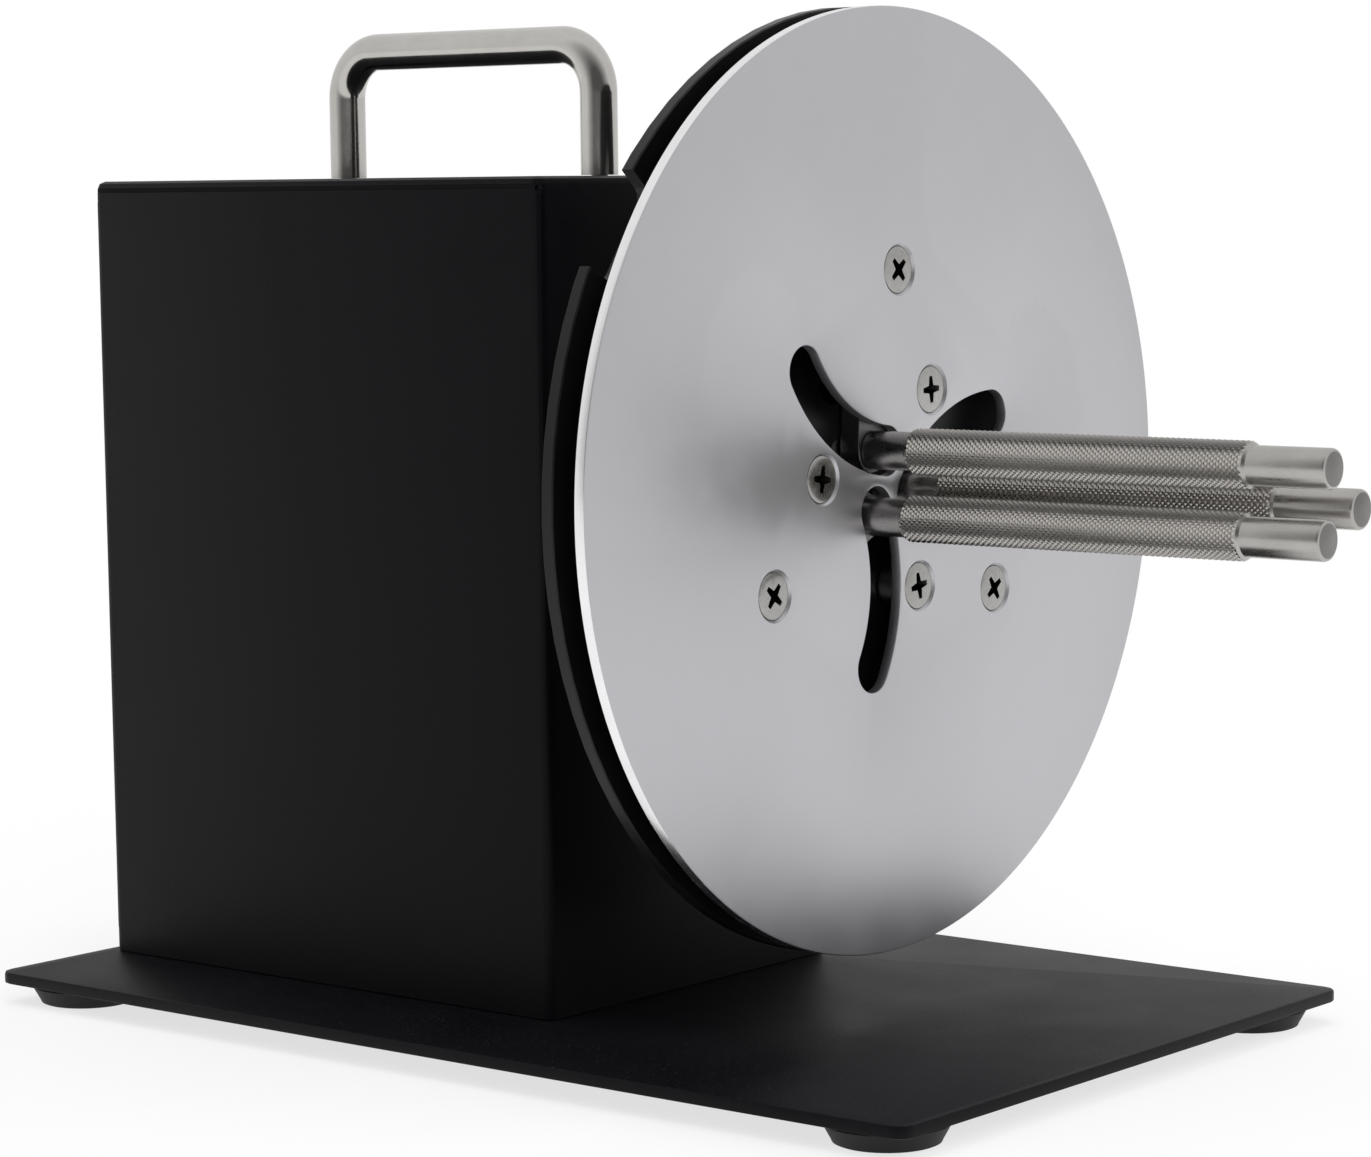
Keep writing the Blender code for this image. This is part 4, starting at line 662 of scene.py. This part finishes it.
@dataclass
class FaceDisc:
    """The silver front disc with its three arc slots and six sunk holes."""

    radius: float = 0.1100
    thickness: float = 0.0030
    edge: float = 0.0004
    rim_steps: int = 288
    pivot_circle: float = 0.04985
    pillar_circle: float = 0.02668
    pillar_deg: float = 57.25
    arm_length: float = 0.0420
    closed_deg: float = 5.2
    travel_deg: float = 47.7
    slot_half: float = 0.00585
    slot_extra_deg: float = 1.8
    arc_steps: int = 40
    end_steps: int = 24
    sink_radius: float = 0.0060
    sink_edge: float = 0.0001
    sink_steps: int = 64
    shank_radius: float = 0.0033
    rest_turn_deg: float = 3.55

    def build(self) -> bpy.types.Object:
        """Builds the disc.

        Returns:
            The object.
        """
        bm = bmesh.new()
        rings = [(self.radius - self.edge, 0.0), (self.radius - 0.3 * self.edge, 0.3 * self.edge),
                 (self.radius, self.edge), (self.radius, self.thickness - self.edge),
                 (self.radius - self.edge, self.thickness)]
        rims = [circle_loop(bm, Vector((0.0, along, 0.0)), radius, self.rim_steps)
                for radius, along in rings]
        bridge(bm, rims)
        faces_front, faces_back = [rims[0]], [rims[-1]]
        for third in THIRDS:
            levels = [(self.edge, 0.0), (0.3 * self.edge, 0.3 * self.edge), (0.0, self.edge),
                      (0.0, self.thickness - self.edge), (self.edge, self.thickness)]
            walls = [self.slot_loop(bm, grow, along, third) for grow, along in levels]
            bridge(bm, walls)
            faces_front.append(walls[0])
            faces_back.append(walls[-1])
            for circle_radius, angle in ((self.pillar_circle, self.pillar_deg),
                                         (self.pivot_circle, 90.0)):
                turn = math.radians(angle + third)
                x, z = circle_radius * math.cos(turn), circle_radius * math.sin(turn)
                sunk = self.sink_radius - self.shank_radius
                levels = [(self.sink_radius + self.sink_edge, 0.0),
                          (self.sink_radius - self.sink_edge, 2 * self.sink_edge),
                          (self.shank_radius, sunk), (self.shank_radius, self.thickness)]
                cones = [circle_loop(bm, Vector((x, along, z)), radius, self.sink_steps)
                         for radius, along in levels]
                bridge(bm, cones)
                faces_front.append(cones[0])
                faces_back.append(cones[-1])
        fill(bm, faces_front)
        fill(bm, faces_back)
        closed_outwards(bm)
        smooth_except_creases(bm, 30.0)
        # The rim's side faces take material 1, the painted-highlight aluminium.
        for face in bm.faces:
            spot = face.calc_center_median()
            if math.hypot(spot.x, spot.z) > self.radius - self.edge and abs(face.normal.y) < 0.9:
                face.material_index = 1
        low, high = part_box("front_disc")
        place = Matrix.Translation(((low.x + high.x) / 2, low.y, (low.z + high.z) / 2))
        place = place @ Matrix.Rotation(math.radians(self.rest_turn_deg), 4, "Y")
        bmesh.ops.transform(bm, matrix=place, verts=bm.verts)
        return finished("reel_face", bm, SATIN_FACE, "reel", ["front_disc"], (RIM_PAINTED_HIGHLIGHT,))

    def slot_loop(self, bm: BMesh, grow: float, along: float, third: float) -> list[BMEdge]:
        """Draws one arc slot's outline round its arm's pivot.

        Args:
            bm: The mesh.
            grow: How much wider than the slot's wall the outline is.
            along: Its distance behind the disc's face.
            third: The slot's turn round the disc.

        Returns:
            Its edges.
        """
        first = math.radians(self.closed_deg - self.slot_extra_deg)
        last = math.radians(self.closed_deg + self.travel_deg + self.slot_extra_deg)
        half = self.slot_half + grow
        spread = Matrix.Rotation(math.radians(-third), 4, "Y")
        pivot = Vector((0.0, along, self.pivot_circle))

        def on_arc(reach: float, turn: float) -> Vector:
            """The point at a reach from the pivot when the arm stands at a turn."""
            arm = Matrix.Rotation(turn, 4, "Y") @ Vector((0.0, 0.0, -reach))
            return spread @ (pivot + arm)

        vertex = bm.verts.new(on_arc(self.arm_length - half, first))
        corners = [vertex]
        half_turn = math.radians(-180)
        moves = ((spread @ pivot, last - first, self.arc_steps),
                 (on_arc(self.arm_length, last), half_turn, self.end_steps),
                 (spread @ pivot, first - last, self.arc_steps),
                 (on_arc(self.arm_length, first), half_turn, self.end_steps))
        edges = []
        for centre, angle, steps in moves:
            before = set(bm.edges)
            made = bmesh.ops.spin(bm, geom=[corners[-1]], cent=centre, axis=(0, 1, 0),
                                  dvec=(0, 0, 0), angle=angle, steps=steps)
            corners.append(next(item for item in made["geom_last"] if isinstance(item, BMVert)))
            edges += [edge for edge in bm.edges if edge not in before]
        bmesh.ops.weld_verts(bm, targetmap={corners[-1]: corners[0]})
        return [edge for edge in edges if edge.is_valid] + [
            edge for edge in corners[0].link_edges if edge not in edges]


# END_FACE marks a rod's flat tip end, which takes the painted-shade steel.
KNURL_FACE, END_FACE = 1, 2  # material indices on a rod


@dataclass
class KnurledRod:
    """A core rod: a plain neck, a diamond knurl and a plain tip, along -Y from the disc."""

    number: int
    stub_radius: float = 0.0032
    neck_radius: float = 0.0045
    knurl_radius: float = 0.0055
    knurl_depth: float = 0.00040
    knurl_half_pitch: float = 0.00074
    neck_reach: float = 0.0088
    knurl_reach: float = 0.0995
    reach: float = 0.1190
    shoulder: float = 0.0006
    tip_chamfer: float = 0.0007
    disc_thickness: float = 0.0030
    steps: int = 56

    def build(self) -> bpy.types.Object:
        """Builds the rod.

        Returns:
            The object.
        """
        node = "core_rod_%d" % self.number
        low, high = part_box(node)
        centre = Vector(((low.x + high.x) / 2, low.y + self.reach, (low.z + high.z) / 2))
        stub_back = high.y - centre.y
        knurl_start = self.neck_reach + self.shoulder
        knurl_length = self.knurl_reach - self.shoulder - knurl_start
        count = round(knurl_length / self.knurl_half_pitch)
        rings = [knurl_start + knurl_length * ring / count for ring in range(count + 1)]
        groove = self.knurl_radius - self.knurl_depth
        profile = [(0.0, stub_back), (self.stub_radius, stub_back),
                   (self.stub_radius, self.disc_thickness), (self.neck_radius, self.disc_thickness),
                   (self.neck_radius, -self.neck_reach)]
        profile += [(groove, -along) for along in rings]
        profile += [(self.neck_radius, -self.knurl_reach),
                    (self.neck_radius, self.tip_chamfer - self.reach),
                    (self.neck_radius - 0.3 * self.tip_chamfer,
                     0.3 * self.tip_chamfer - self.reach),
                    (self.neck_radius - self.tip_chamfer, -self.reach), (0.0, -self.reach)]
        bm = bmesh.new()
        turned(bm, profile, centre, self.steps)
        closed_outwards(bm)
        smooth_except_creases(bm, 34.0)
        self.raise_diamonds(bm, centre, knurl_start, knurl_length / count, count)
        return finished("knurled_rod_%d" % self.number, bm, ROD_STEEL, "arm_%d" % self.number,
                        [node], (KNURL_STEEL, END_PAINTED_SHADE))

    def raise_diamonds(self, bm: BMesh, centre: Vector, start: float, pitch: float, count: int
                       ) -> None:
        """Lifts every other vertex of the knurl's grid into the peak of a diamond.

        Args:
            bm: The mesh.
            centre: The rod's axis where it passes the disc's face.
            start: Distance of the knurl's first ring from the face.
            pitch: Distance between rings.
            count: Number of the last ring.
        """
        lifted = self.knurl_radius / (self.knurl_radius - self.knurl_depth)
        knurl = set()
        for vertex in bm.verts:
            across = vertex.co - centre
            ring = (-across.y - start) / pitch
            if abs(ring - round(ring)) > 0.01 or not 0 <= round(ring) <= count:
                continue
            knurl.add(vertex)
            step = round(math.atan2(across.z, across.x) / math.tau * self.steps)
            if (round(ring) + step) % 2 == 0 and 0 < round(ring) < count:
                vertex.co = centre + Vector((across.x * lifted, across.y, across.z * lifted))
        patch = [face for face in bm.faces if all(vertex in knurl for vertex in face.verts)]
        # The flat tip end takes the darker painted-shade copy of the rod steel.
        for face in bm.faces:
            if abs(face.calc_center_median().y - centre.y + self.reach) < MERGE_DISTANCE:
                face.material_index = END_FACE
        made = bmesh.ops.triangulate(bm, faces=patch, quad_method="SHORT_EDGE")
        for face in made["faces"]:
            face.smooth = False
            face.material_index = KNURL_FACE


@dataclass
class Reel:
    """Everything that turns with the shaft, and the arms and rods that it carries."""

    sunk_head_radius: float = 0.0054
    sunk_shank_radius: float = 0.0030
    outer_turn_deg: float = 45.0
    inner_turn_deg: float = 0.0
    screw_turns_deg: tuple[float, ...] = (4.0, -7.0, 11.0)

    def build(self) -> None:
        """Builds the reel's pieces."""
        FaceDisc().build()
        merged_copy("adjusting_disc", BLACK_ANODISED, edge=0.0004)
        merged_copy("reel_hub", TURNED_ALUMINIUM)
        merged_copy("friction_ring", GREY_FELT)
        merged_copy("hub_set_screw", BLACK_ANODISED)
        merged_copy("drive_shaft", POLISHED_STEEL)
        for number in (1, 2, 3):
            KnurledRod(number).build()
            merged_copy("swing_arm_%d" % number, ARM_STEEL, edge=0.0003)
            merged_copy("cam_pin_%d" % number, ROD_STEEL)
            merged_copy("pivot_post_%d" % number, ROD_STEEL)
            turn = self.screw_turns_deg[number - 1]
            self.sunk_screw("outer_disc_screw_%d" % number, self.outer_turn_deg + turn)
            self.sunk_screw("inner_disc_screw_%d" % number, self.inner_turn_deg - turn)

    def sunk_screw(self, node: str, turn_deg: float) -> bpy.types.Object:
        """Builds one sunk screw in the reel's face.

        Args:
            node: The CAD node that it stands for.
            turn_deg: The turn of its cross.

        Returns:
            The object.
        """
        low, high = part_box(node)
        screw = CrossScrew(Head.SUNK, self.sunk_head_radius, 0.0, self.sunk_shank_radius,
                           high.y - low.y)
        place = Matrix.Translation(((low.x + high.x) / 2, low.y, (low.z + high.z) / 2))
        place = place @ Matrix.Rotation(math.radians(turn_deg), 4, "Y")
        return finished(node + "_cross", screw.mesh(place), ZINC_STEEL, "reel", [node],
                        (RECESS_PAINTED_SHADE,))


# ---- Body ----

@dataclass
class CarryHandle:
    """The bent round bar on top of the body."""

    bend_radius: float = 0.0116
    sides: int = 56
    bend_steps: int = 20

    def build(self) -> bpy.types.Object:
        """Builds the handle with two square bends.

        Returns:
            The object.
        """
        low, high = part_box("carry_handle")
        x, base, radius = (low.x + high.x) / 2, low.z, (high.x - low.x) / 2
        front, back = low.y + radius, high.y - radius
        level = high.z - radius - self.bend_radius
        bm = bmesh.new()
        made = bmesh.ops.create_circle(bm, cap_ends=True, segments=self.sides, radius=radius,
                                       matrix=Matrix.Translation((x, front, base)))
        section = [face for vertex in made["verts"] for face in vertex.link_faces][:1]
        section = self.pulled(bm, section, Vector((0.0, 0.0, level - base)))
        section = self.bent(bm, section, Vector((x, front + self.bend_radius, level)))
        section = self.pulled(bm, section, Vector((0.0, back - front - 2 * self.bend_radius, 0.0)))
        section = self.bent(bm, section, Vector((x, back - self.bend_radius, level)))
        self.pulled(bm, section, Vector((0.0, 0.0, base - level)))
        closed_outwards(bm)
        smooth_except_creases(bm)
        return finished("handle_bar", bm, POLISHED_STEEL, "machine", ["carry_handle"])

    @staticmethod
    def pulled(bm: BMesh, section: list, by: Vector) -> list:
        """Pulls the bar's end straight on.

        Args:
            bm: The mesh.
            section: The end face.
            by: How far.

        Returns:
            The new end face.
        """
        made = bmesh.ops.extrude_face_region(bm, geom=section)["geom"]
        corners = [item for item in made if isinstance(item, BMVert)]
        bmesh.ops.translate(bm, vec=by, verts=corners)
        bmesh.ops.delete(bm, geom=section, context="FACES_ONLY")
        return [item for item in made if isinstance(item, bmesh.types.BMFace)]

    def bent(self, bm: BMesh, section: list, centre: Vector) -> list:
        """Bends the bar's end by a right angle towards the back.

        Args:
            bm: The mesh.
            section: The end face.
            centre: The bend's centre.

        Returns:
            The new end face.
        """
        made = bmesh.ops.spin(bm, geom=section, cent=centre, axis=(1, 0, 0), dvec=(0, 0, 0),
                              angle=math.radians(-90), steps=self.bend_steps)
        inner = [face for face in bm.faces if len(face.verts) == self.sides
                 and face not in made["geom_last"]]
        bmesh.ops.delete(bm, geom=inner[1:], context="FACES_ONLY")
        return [item for item in made["geom_last"] if isinstance(item, bmesh.types.BMFace)]


@dataclass
class RubberFoot:
    """A moulded foot, wider at the top, with a pocket beneath."""

    number: int
    radius: float = 0.0140
    tread_radius: float = 0.0122
    edge: float = 0.0009
    pocket_radius: float = 0.0055
    pocket_depth: float = 0.0030
    pocket_edge: float = 0.0006
    fine_edge: float = 0.0004
    side_draft: float = 0.0002
    steps: int = 72

    def build(self) -> bpy.types.Object:
        """Builds the foot.

        Returns:
            The object.
        """
        node = "rubber_foot_%d" % self.number
        low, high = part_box(node)
        height = high.z - low.z
        tread, pocket = self.tread_radius, self.pocket_radius
        fine, roof = self.fine_edge, self.pocket_depth
        profile = [(0.0, roof), (pocket - self.pocket_edge, roof),
                   (pocket, roof - self.pocket_edge), (pocket, fine), (pocket + fine, 0.0),
                   (tread - self.edge, 0.0), (tread - 0.3 * self.edge, 0.3 * self.edge),
                   (tread, self.edge),
                   (self.radius - self.side_draft, height - self.pocket_edge - fine),
                   (self.radius, height - self.pocket_edge), (self.radius - fine, height),
                   (0.0, height)]
        bm = bmesh.new()
        turned(bm, profile, Vector(), self.steps)
        closed_outwards(bm)
        smooth_except_creases(bm)
        place = Matrix.Translation(((low.x + high.x) / 2, (low.y + high.y) / 2, low.z))
        place = place @ Matrix.Rotation(math.radians(90), 4, "X")
        bmesh.ops.transform(bm, matrix=place, verts=bm.verts)
        return finished("foot_%d" % self.number, bm, BLACK_RUBBER, "machine", [node])


@dataclass
class Body:
    """The folded shell, its back panel and plate, the handle, the feet and their screws."""

    pan_radius: float = 0.0038
    pan_height: float = 0.0024
    pan_shank: float = 0.0020
    small_radius: float = 0.0028
    small_height: float = 0.0013
    small_shank: float = 0.0015

    def build(self) -> None:
        """Builds the body's pieces."""
        merged_copy("body_shell", BLACK_COAT)
        merged_copy("back_panel", BLACK_COAT, edge=0.00025)
        merged_copy("base_plate", BLACK_COAT)
        CarryHandle().build()
        for number in (1, 2, 3, 4):
            RubberFoot(number).build()
            self.pan_screw("body_screw_%d" % number, Matrix.Rotation(math.radians(90), 4, "X"))
            self.pan_screw("back_panel_screw_%d" % number,
                           Matrix.Rotation(math.radians(180), 4, "Z"), small=True)
        for number in (1, 2):
            self.pan_screw("handle_screw_%d" % number, Matrix.Rotation(math.radians(90), 4, "X"))

    def pan_screw(self, node: str, turn: Matrix, small: bool = False) -> bpy.types.Object:
        """Builds one pan head screw.

        Args:
            node: The CAD node that it stands for.
            turn: Turns the screw's head from -Y to the way it faces.
            small: Whether it is one of the small screws.

        Returns:
            The object.
        """
        low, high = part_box(node)
        length = max(high - low)
        radius = self.small_radius if small else self.pan_radius
        height = self.small_height if small else self.pan_height
        shank = self.small_shank if small else self.pan_shank
        facing = turn.to_3x3() @ Vector((0.0, -1.0, 0.0))
        top = middle(node) + facing * length / 2
        screw = CrossScrew(Head.PAN, radius, height, shank, length)
        twist = Matrix.Rotation(math.radians(17 * (int(node[-1]) + len(node))), 4, "Y")
        mesh = screw.mesh(Matrix.Translation(top) @ turn @ twist)
        return finished(node + "_cross", mesh, ZINC_STEEL, "machine", [node], (RECESS_PAINTED_SHADE,))


@dataclass
class Drive:
    """The bearing housing, the bearing, the gearbox and the motor."""

    def build(self, body: Body) -> None:
        """Builds the drive's pieces.

        Args:
            body: The body, whose pan head screws hold the housing too.
        """
        merged_copy("bearing_housing", BLACK_ANODISED)
        merged_copy("shaft_bearing", POLISHED_STEEL)
        merged_copy("gearbox", MOTOR_STEEL)
        merged_copy("motor", MOTOR_STEEL)
        for number in (1, 2, 3):
            body.pan_screw("bearing_screw_%d" % number, Matrix.Identity(4))


@dataclass
class Controls:
    """The speed knob, the direction switch and the power inlet, with what is behind them."""

    finishes: tuple[tuple[str, Finish], ...] = (
        ("speed_knob", BLACK_PLASTIC), ("potentiometer_nut", ZINC_STEEL),
        ("potentiometer_shaft", POLISHED_STEEL), ("speed_potentiometer", MOTOR_STEEL),
        ("direction_switch", BLACK_PLASTIC), ("direction_rocker", ROCKER_PLASTIC),
        ("power_inlet", BLACK_PLASTIC))

    def build(self) -> None:
        """Builds the controls' pieces."""
        for node, finish in self.finishes:
            merged_copy(node, finish)


@dataclass
class Electronics:
    """The board in the body, its tray and what is soldered to it."""

    finishes: tuple[tuple[str, Finish], ...] = (
        ("board_tray", BLACK_PLASTIC), ("control_board", BOARD_GREEN),
        ("terminal_block", TERMINAL_GREEN), ("capacitor", BLACK_PLASTIC))

    def build(self) -> None:
        """Builds the pieces of the electronics."""
        for node, finish in self.finishes:
            merged_copy(node, finish)


# ---- Studio ----

@dataclass
class Lamp:
    """A soft square lamp that faces the object."""

    name: str
    place: tuple[float, float, float]
    size: float
    power: float
    aim: tuple[float, float, float] = (0.0, 0.0, 0.11)

    def build(self) -> bpy.types.Object:
        """Builds the lamp and returns it."""
        data = bpy.data.lights.new(self.name, "AREA")
        data.shape = "SQUARE"
        data.size = self.size
        data.energy = self.power
        lamp = bpy.data.objects.new(self.name, data)
        lamp.visible_glossy = False
        bpy.context.scene.collection.objects.link(lamp)
        away = Vector(self.place) - Vector(self.aim)
        lamp.matrix_world = (Matrix.Translation(self.place)
                             @ away.to_track_quat("Z", "Y").to_matrix().to_4x4())
        return lamp


@dataclass
class Studio:
    """The pale floor, the plain world, the lamps and the camera at the photograph's angle."""

    eye: tuple[float, float, float] = (-0.7412, -0.5927, 0.2026)
    azimuth_deg: float = -50.97
    elevation_deg: float = 7.22
    roll_deg: float = -0.58
    lens: float = 103.9
    shift: tuple[float, float] = (-0.0157, 0.0813)
    floor_size: float = 8.0
    floor_colour: Colour = (0.86, 0.86, 0.86)
    sky: float = 0.60
    room: tuple[float, float, float] = (-0.78, -0.62, 0.0)
    room_level: float = 0.12
    room_share: tuple[float, float] = (0.25, 0.85)
    wall_level: float = 0.86
    floor_white: float = 0.72
    floor_fade: tuple[float, float] = (0.22, 0.55)
    sky_colour: Colour = (0.98, 0.99, 1.0)
    lamps: tuple[Lamp, ...] = (
        Lamp("key", (-1.1, -1.9, 1.7), 1.6, 20.0),
        Lamp("fill", (1.7, -1.4, 1.2), 1.8, 14.0),
        Lamp("top", (0.0, 0.3, 2.2), 2.0, 26.0))

    def build(self) -> None:
        """Builds everything of the studio."""
        self.set_camera()
        self.lay_floor()
        self.light_world()
        for lamp in self.lamps:
            lamp.build()
        bpy.context.scene.view_settings.view_transform = "Standard"

    def set_camera(self) -> None:
        """Sets the camera at the photograph's angle."""
        data = bpy.data.cameras.new("camera")
        data.sensor_width = 36.0
        data.lens = self.lens
        data.shift_x, data.shift_y = self.shift
        data.clip_start = 0.01
        camera = bpy.data.objects.new("camera", data)
        bpy.context.scene.collection.objects.link(camera)
        azimuth, elevation = math.radians(self.azimuth_deg), math.radians(self.elevation_deg)
        back = Vector((math.sin(azimuth) * math.cos(elevation),
                       -math.cos(azimuth) * math.cos(elevation), math.sin(elevation)))
        turn = back.to_track_quat("Z", "Y").to_matrix().to_4x4()
        roll = Matrix.Rotation(math.radians(self.roll_deg), 4, "Z")
        camera.matrix_world = Matrix.Translation(self.eye) @ turn @ roll
        bpy.context.scene.camera = camera

    def lay_floor(self) -> None:
        """Lays the floor, which fades to plain white away from the object."""
        bm = bmesh.new()
        bmesh.ops.create_grid(bm, x_segments=8, y_segments=8, size=self.floor_size / 2)
        mesh = bpy.data.meshes.new("floor")
        bm.to_mesh(mesh)
        bm.free()
        floor = bpy.data.objects.new("floor", mesh)
        bpy.context.scene.collection.objects.link(floor)
        made = bpy.data.materials.new("studio_floor")
        made.use_nodes = True
        wiring = Wiring(made.node_tree)
        shader = made.node_tree.nodes["Principled BSDF"]
        shader.inputs["Base Color"].default_value = (*self.floor_colour, 1.0)
        shader.inputs["Roughness"].default_value = 0.9
        shader.inputs["Specular IOR Level"].default_value = 0.1
        white = wiring.node("Emission", {"Color": (1.0, 1.0, 1.0, 1.0), "Strength": 1.0})
        path = wiring.node("LightPath")
        seen = wiring.maths("MAXIMUM", path.outputs["Is Camera Ray"], path.outputs["Is Glossy Ray"])
        place = wiring.node("TexCoord").outputs["Object"]
        away = wiring.node("VectorMath", {0: place}, operation="LENGTH").outputs["Value"]
        far = wiring.clamped_range(away, *self.floor_fade, self.floor_white, 1.0)
        share = wiring.maths("MULTIPLY", seen, far)
        mixed = wiring.node("MixShader", {0: share, 1: shader.outputs[0], 2: white.outputs[0]})
        end = made.node_tree.nodes["Material Output"]
        made.node_tree.links.new(mixed.outputs[0], end.inputs["Surface"])
        mesh.materials.append(made)

    def light_world(self) -> None:
        """Gives the world a plain level of light and a white look behind the object."""
        world = bpy.data.worlds.new("studio")
        bpy.context.scene.world = world
        world.use_nodes = True
        wiring = Wiring(world.node_tree)
        soft = world.node_tree.nodes["Background"]
        soft.inputs["Color"].default_value = (*self.sky_colour, 1.0)
        soft.inputs["Strength"].default_value = self.sky
        path = wiring.node("LightPath")
        glossy = path.outputs["Is Glossy Ray"]
        seen = wiring.maths("MAXIMUM", path.outputs["Is Camera Ray"],
                            path.outputs["Is Transmission Ray"])
        seen = wiring.maths("MAXIMUM", seen, glossy)
        way = wiring.node("TexCoord").outputs["Generated"]
        towards = wiring.node("VectorMath", {0: way, 1: self.room}, operation="DOT_PRODUCT")
        dim = wiring.clamped_range(towards.outputs["Value"], *self.room_share, self.wall_level,
                                   self.room_level)
        level = wiring.node("Mix", {0: glossy, 2: 1.0, 3: dim}).outputs[0]
        white = wiring.node("Background", {"Color": (1.0, 1.0, 1.0, 1.0), "Strength": level})
        mixed = wiring.node("MixShader", {0: seen, 1: soft.outputs[0], 2: white.outputs[0]})
        end = world.node_tree.nodes["World Output"]
        world.node_tree.links.new(mixed.outputs[0], end.inputs["Surface"])


def main() -> None:
    """Builds the studio and every sub-assembly in order."""
    logging.basicConfig(level=logging.INFO, format="%(message)s")
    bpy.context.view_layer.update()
    Studio().build()
    Reel().build()
    body = Body()
    body.build()
    Drive().build(body)
    Controls().build()
    Electronics().build()


if __name__ == "__main__":
    main()
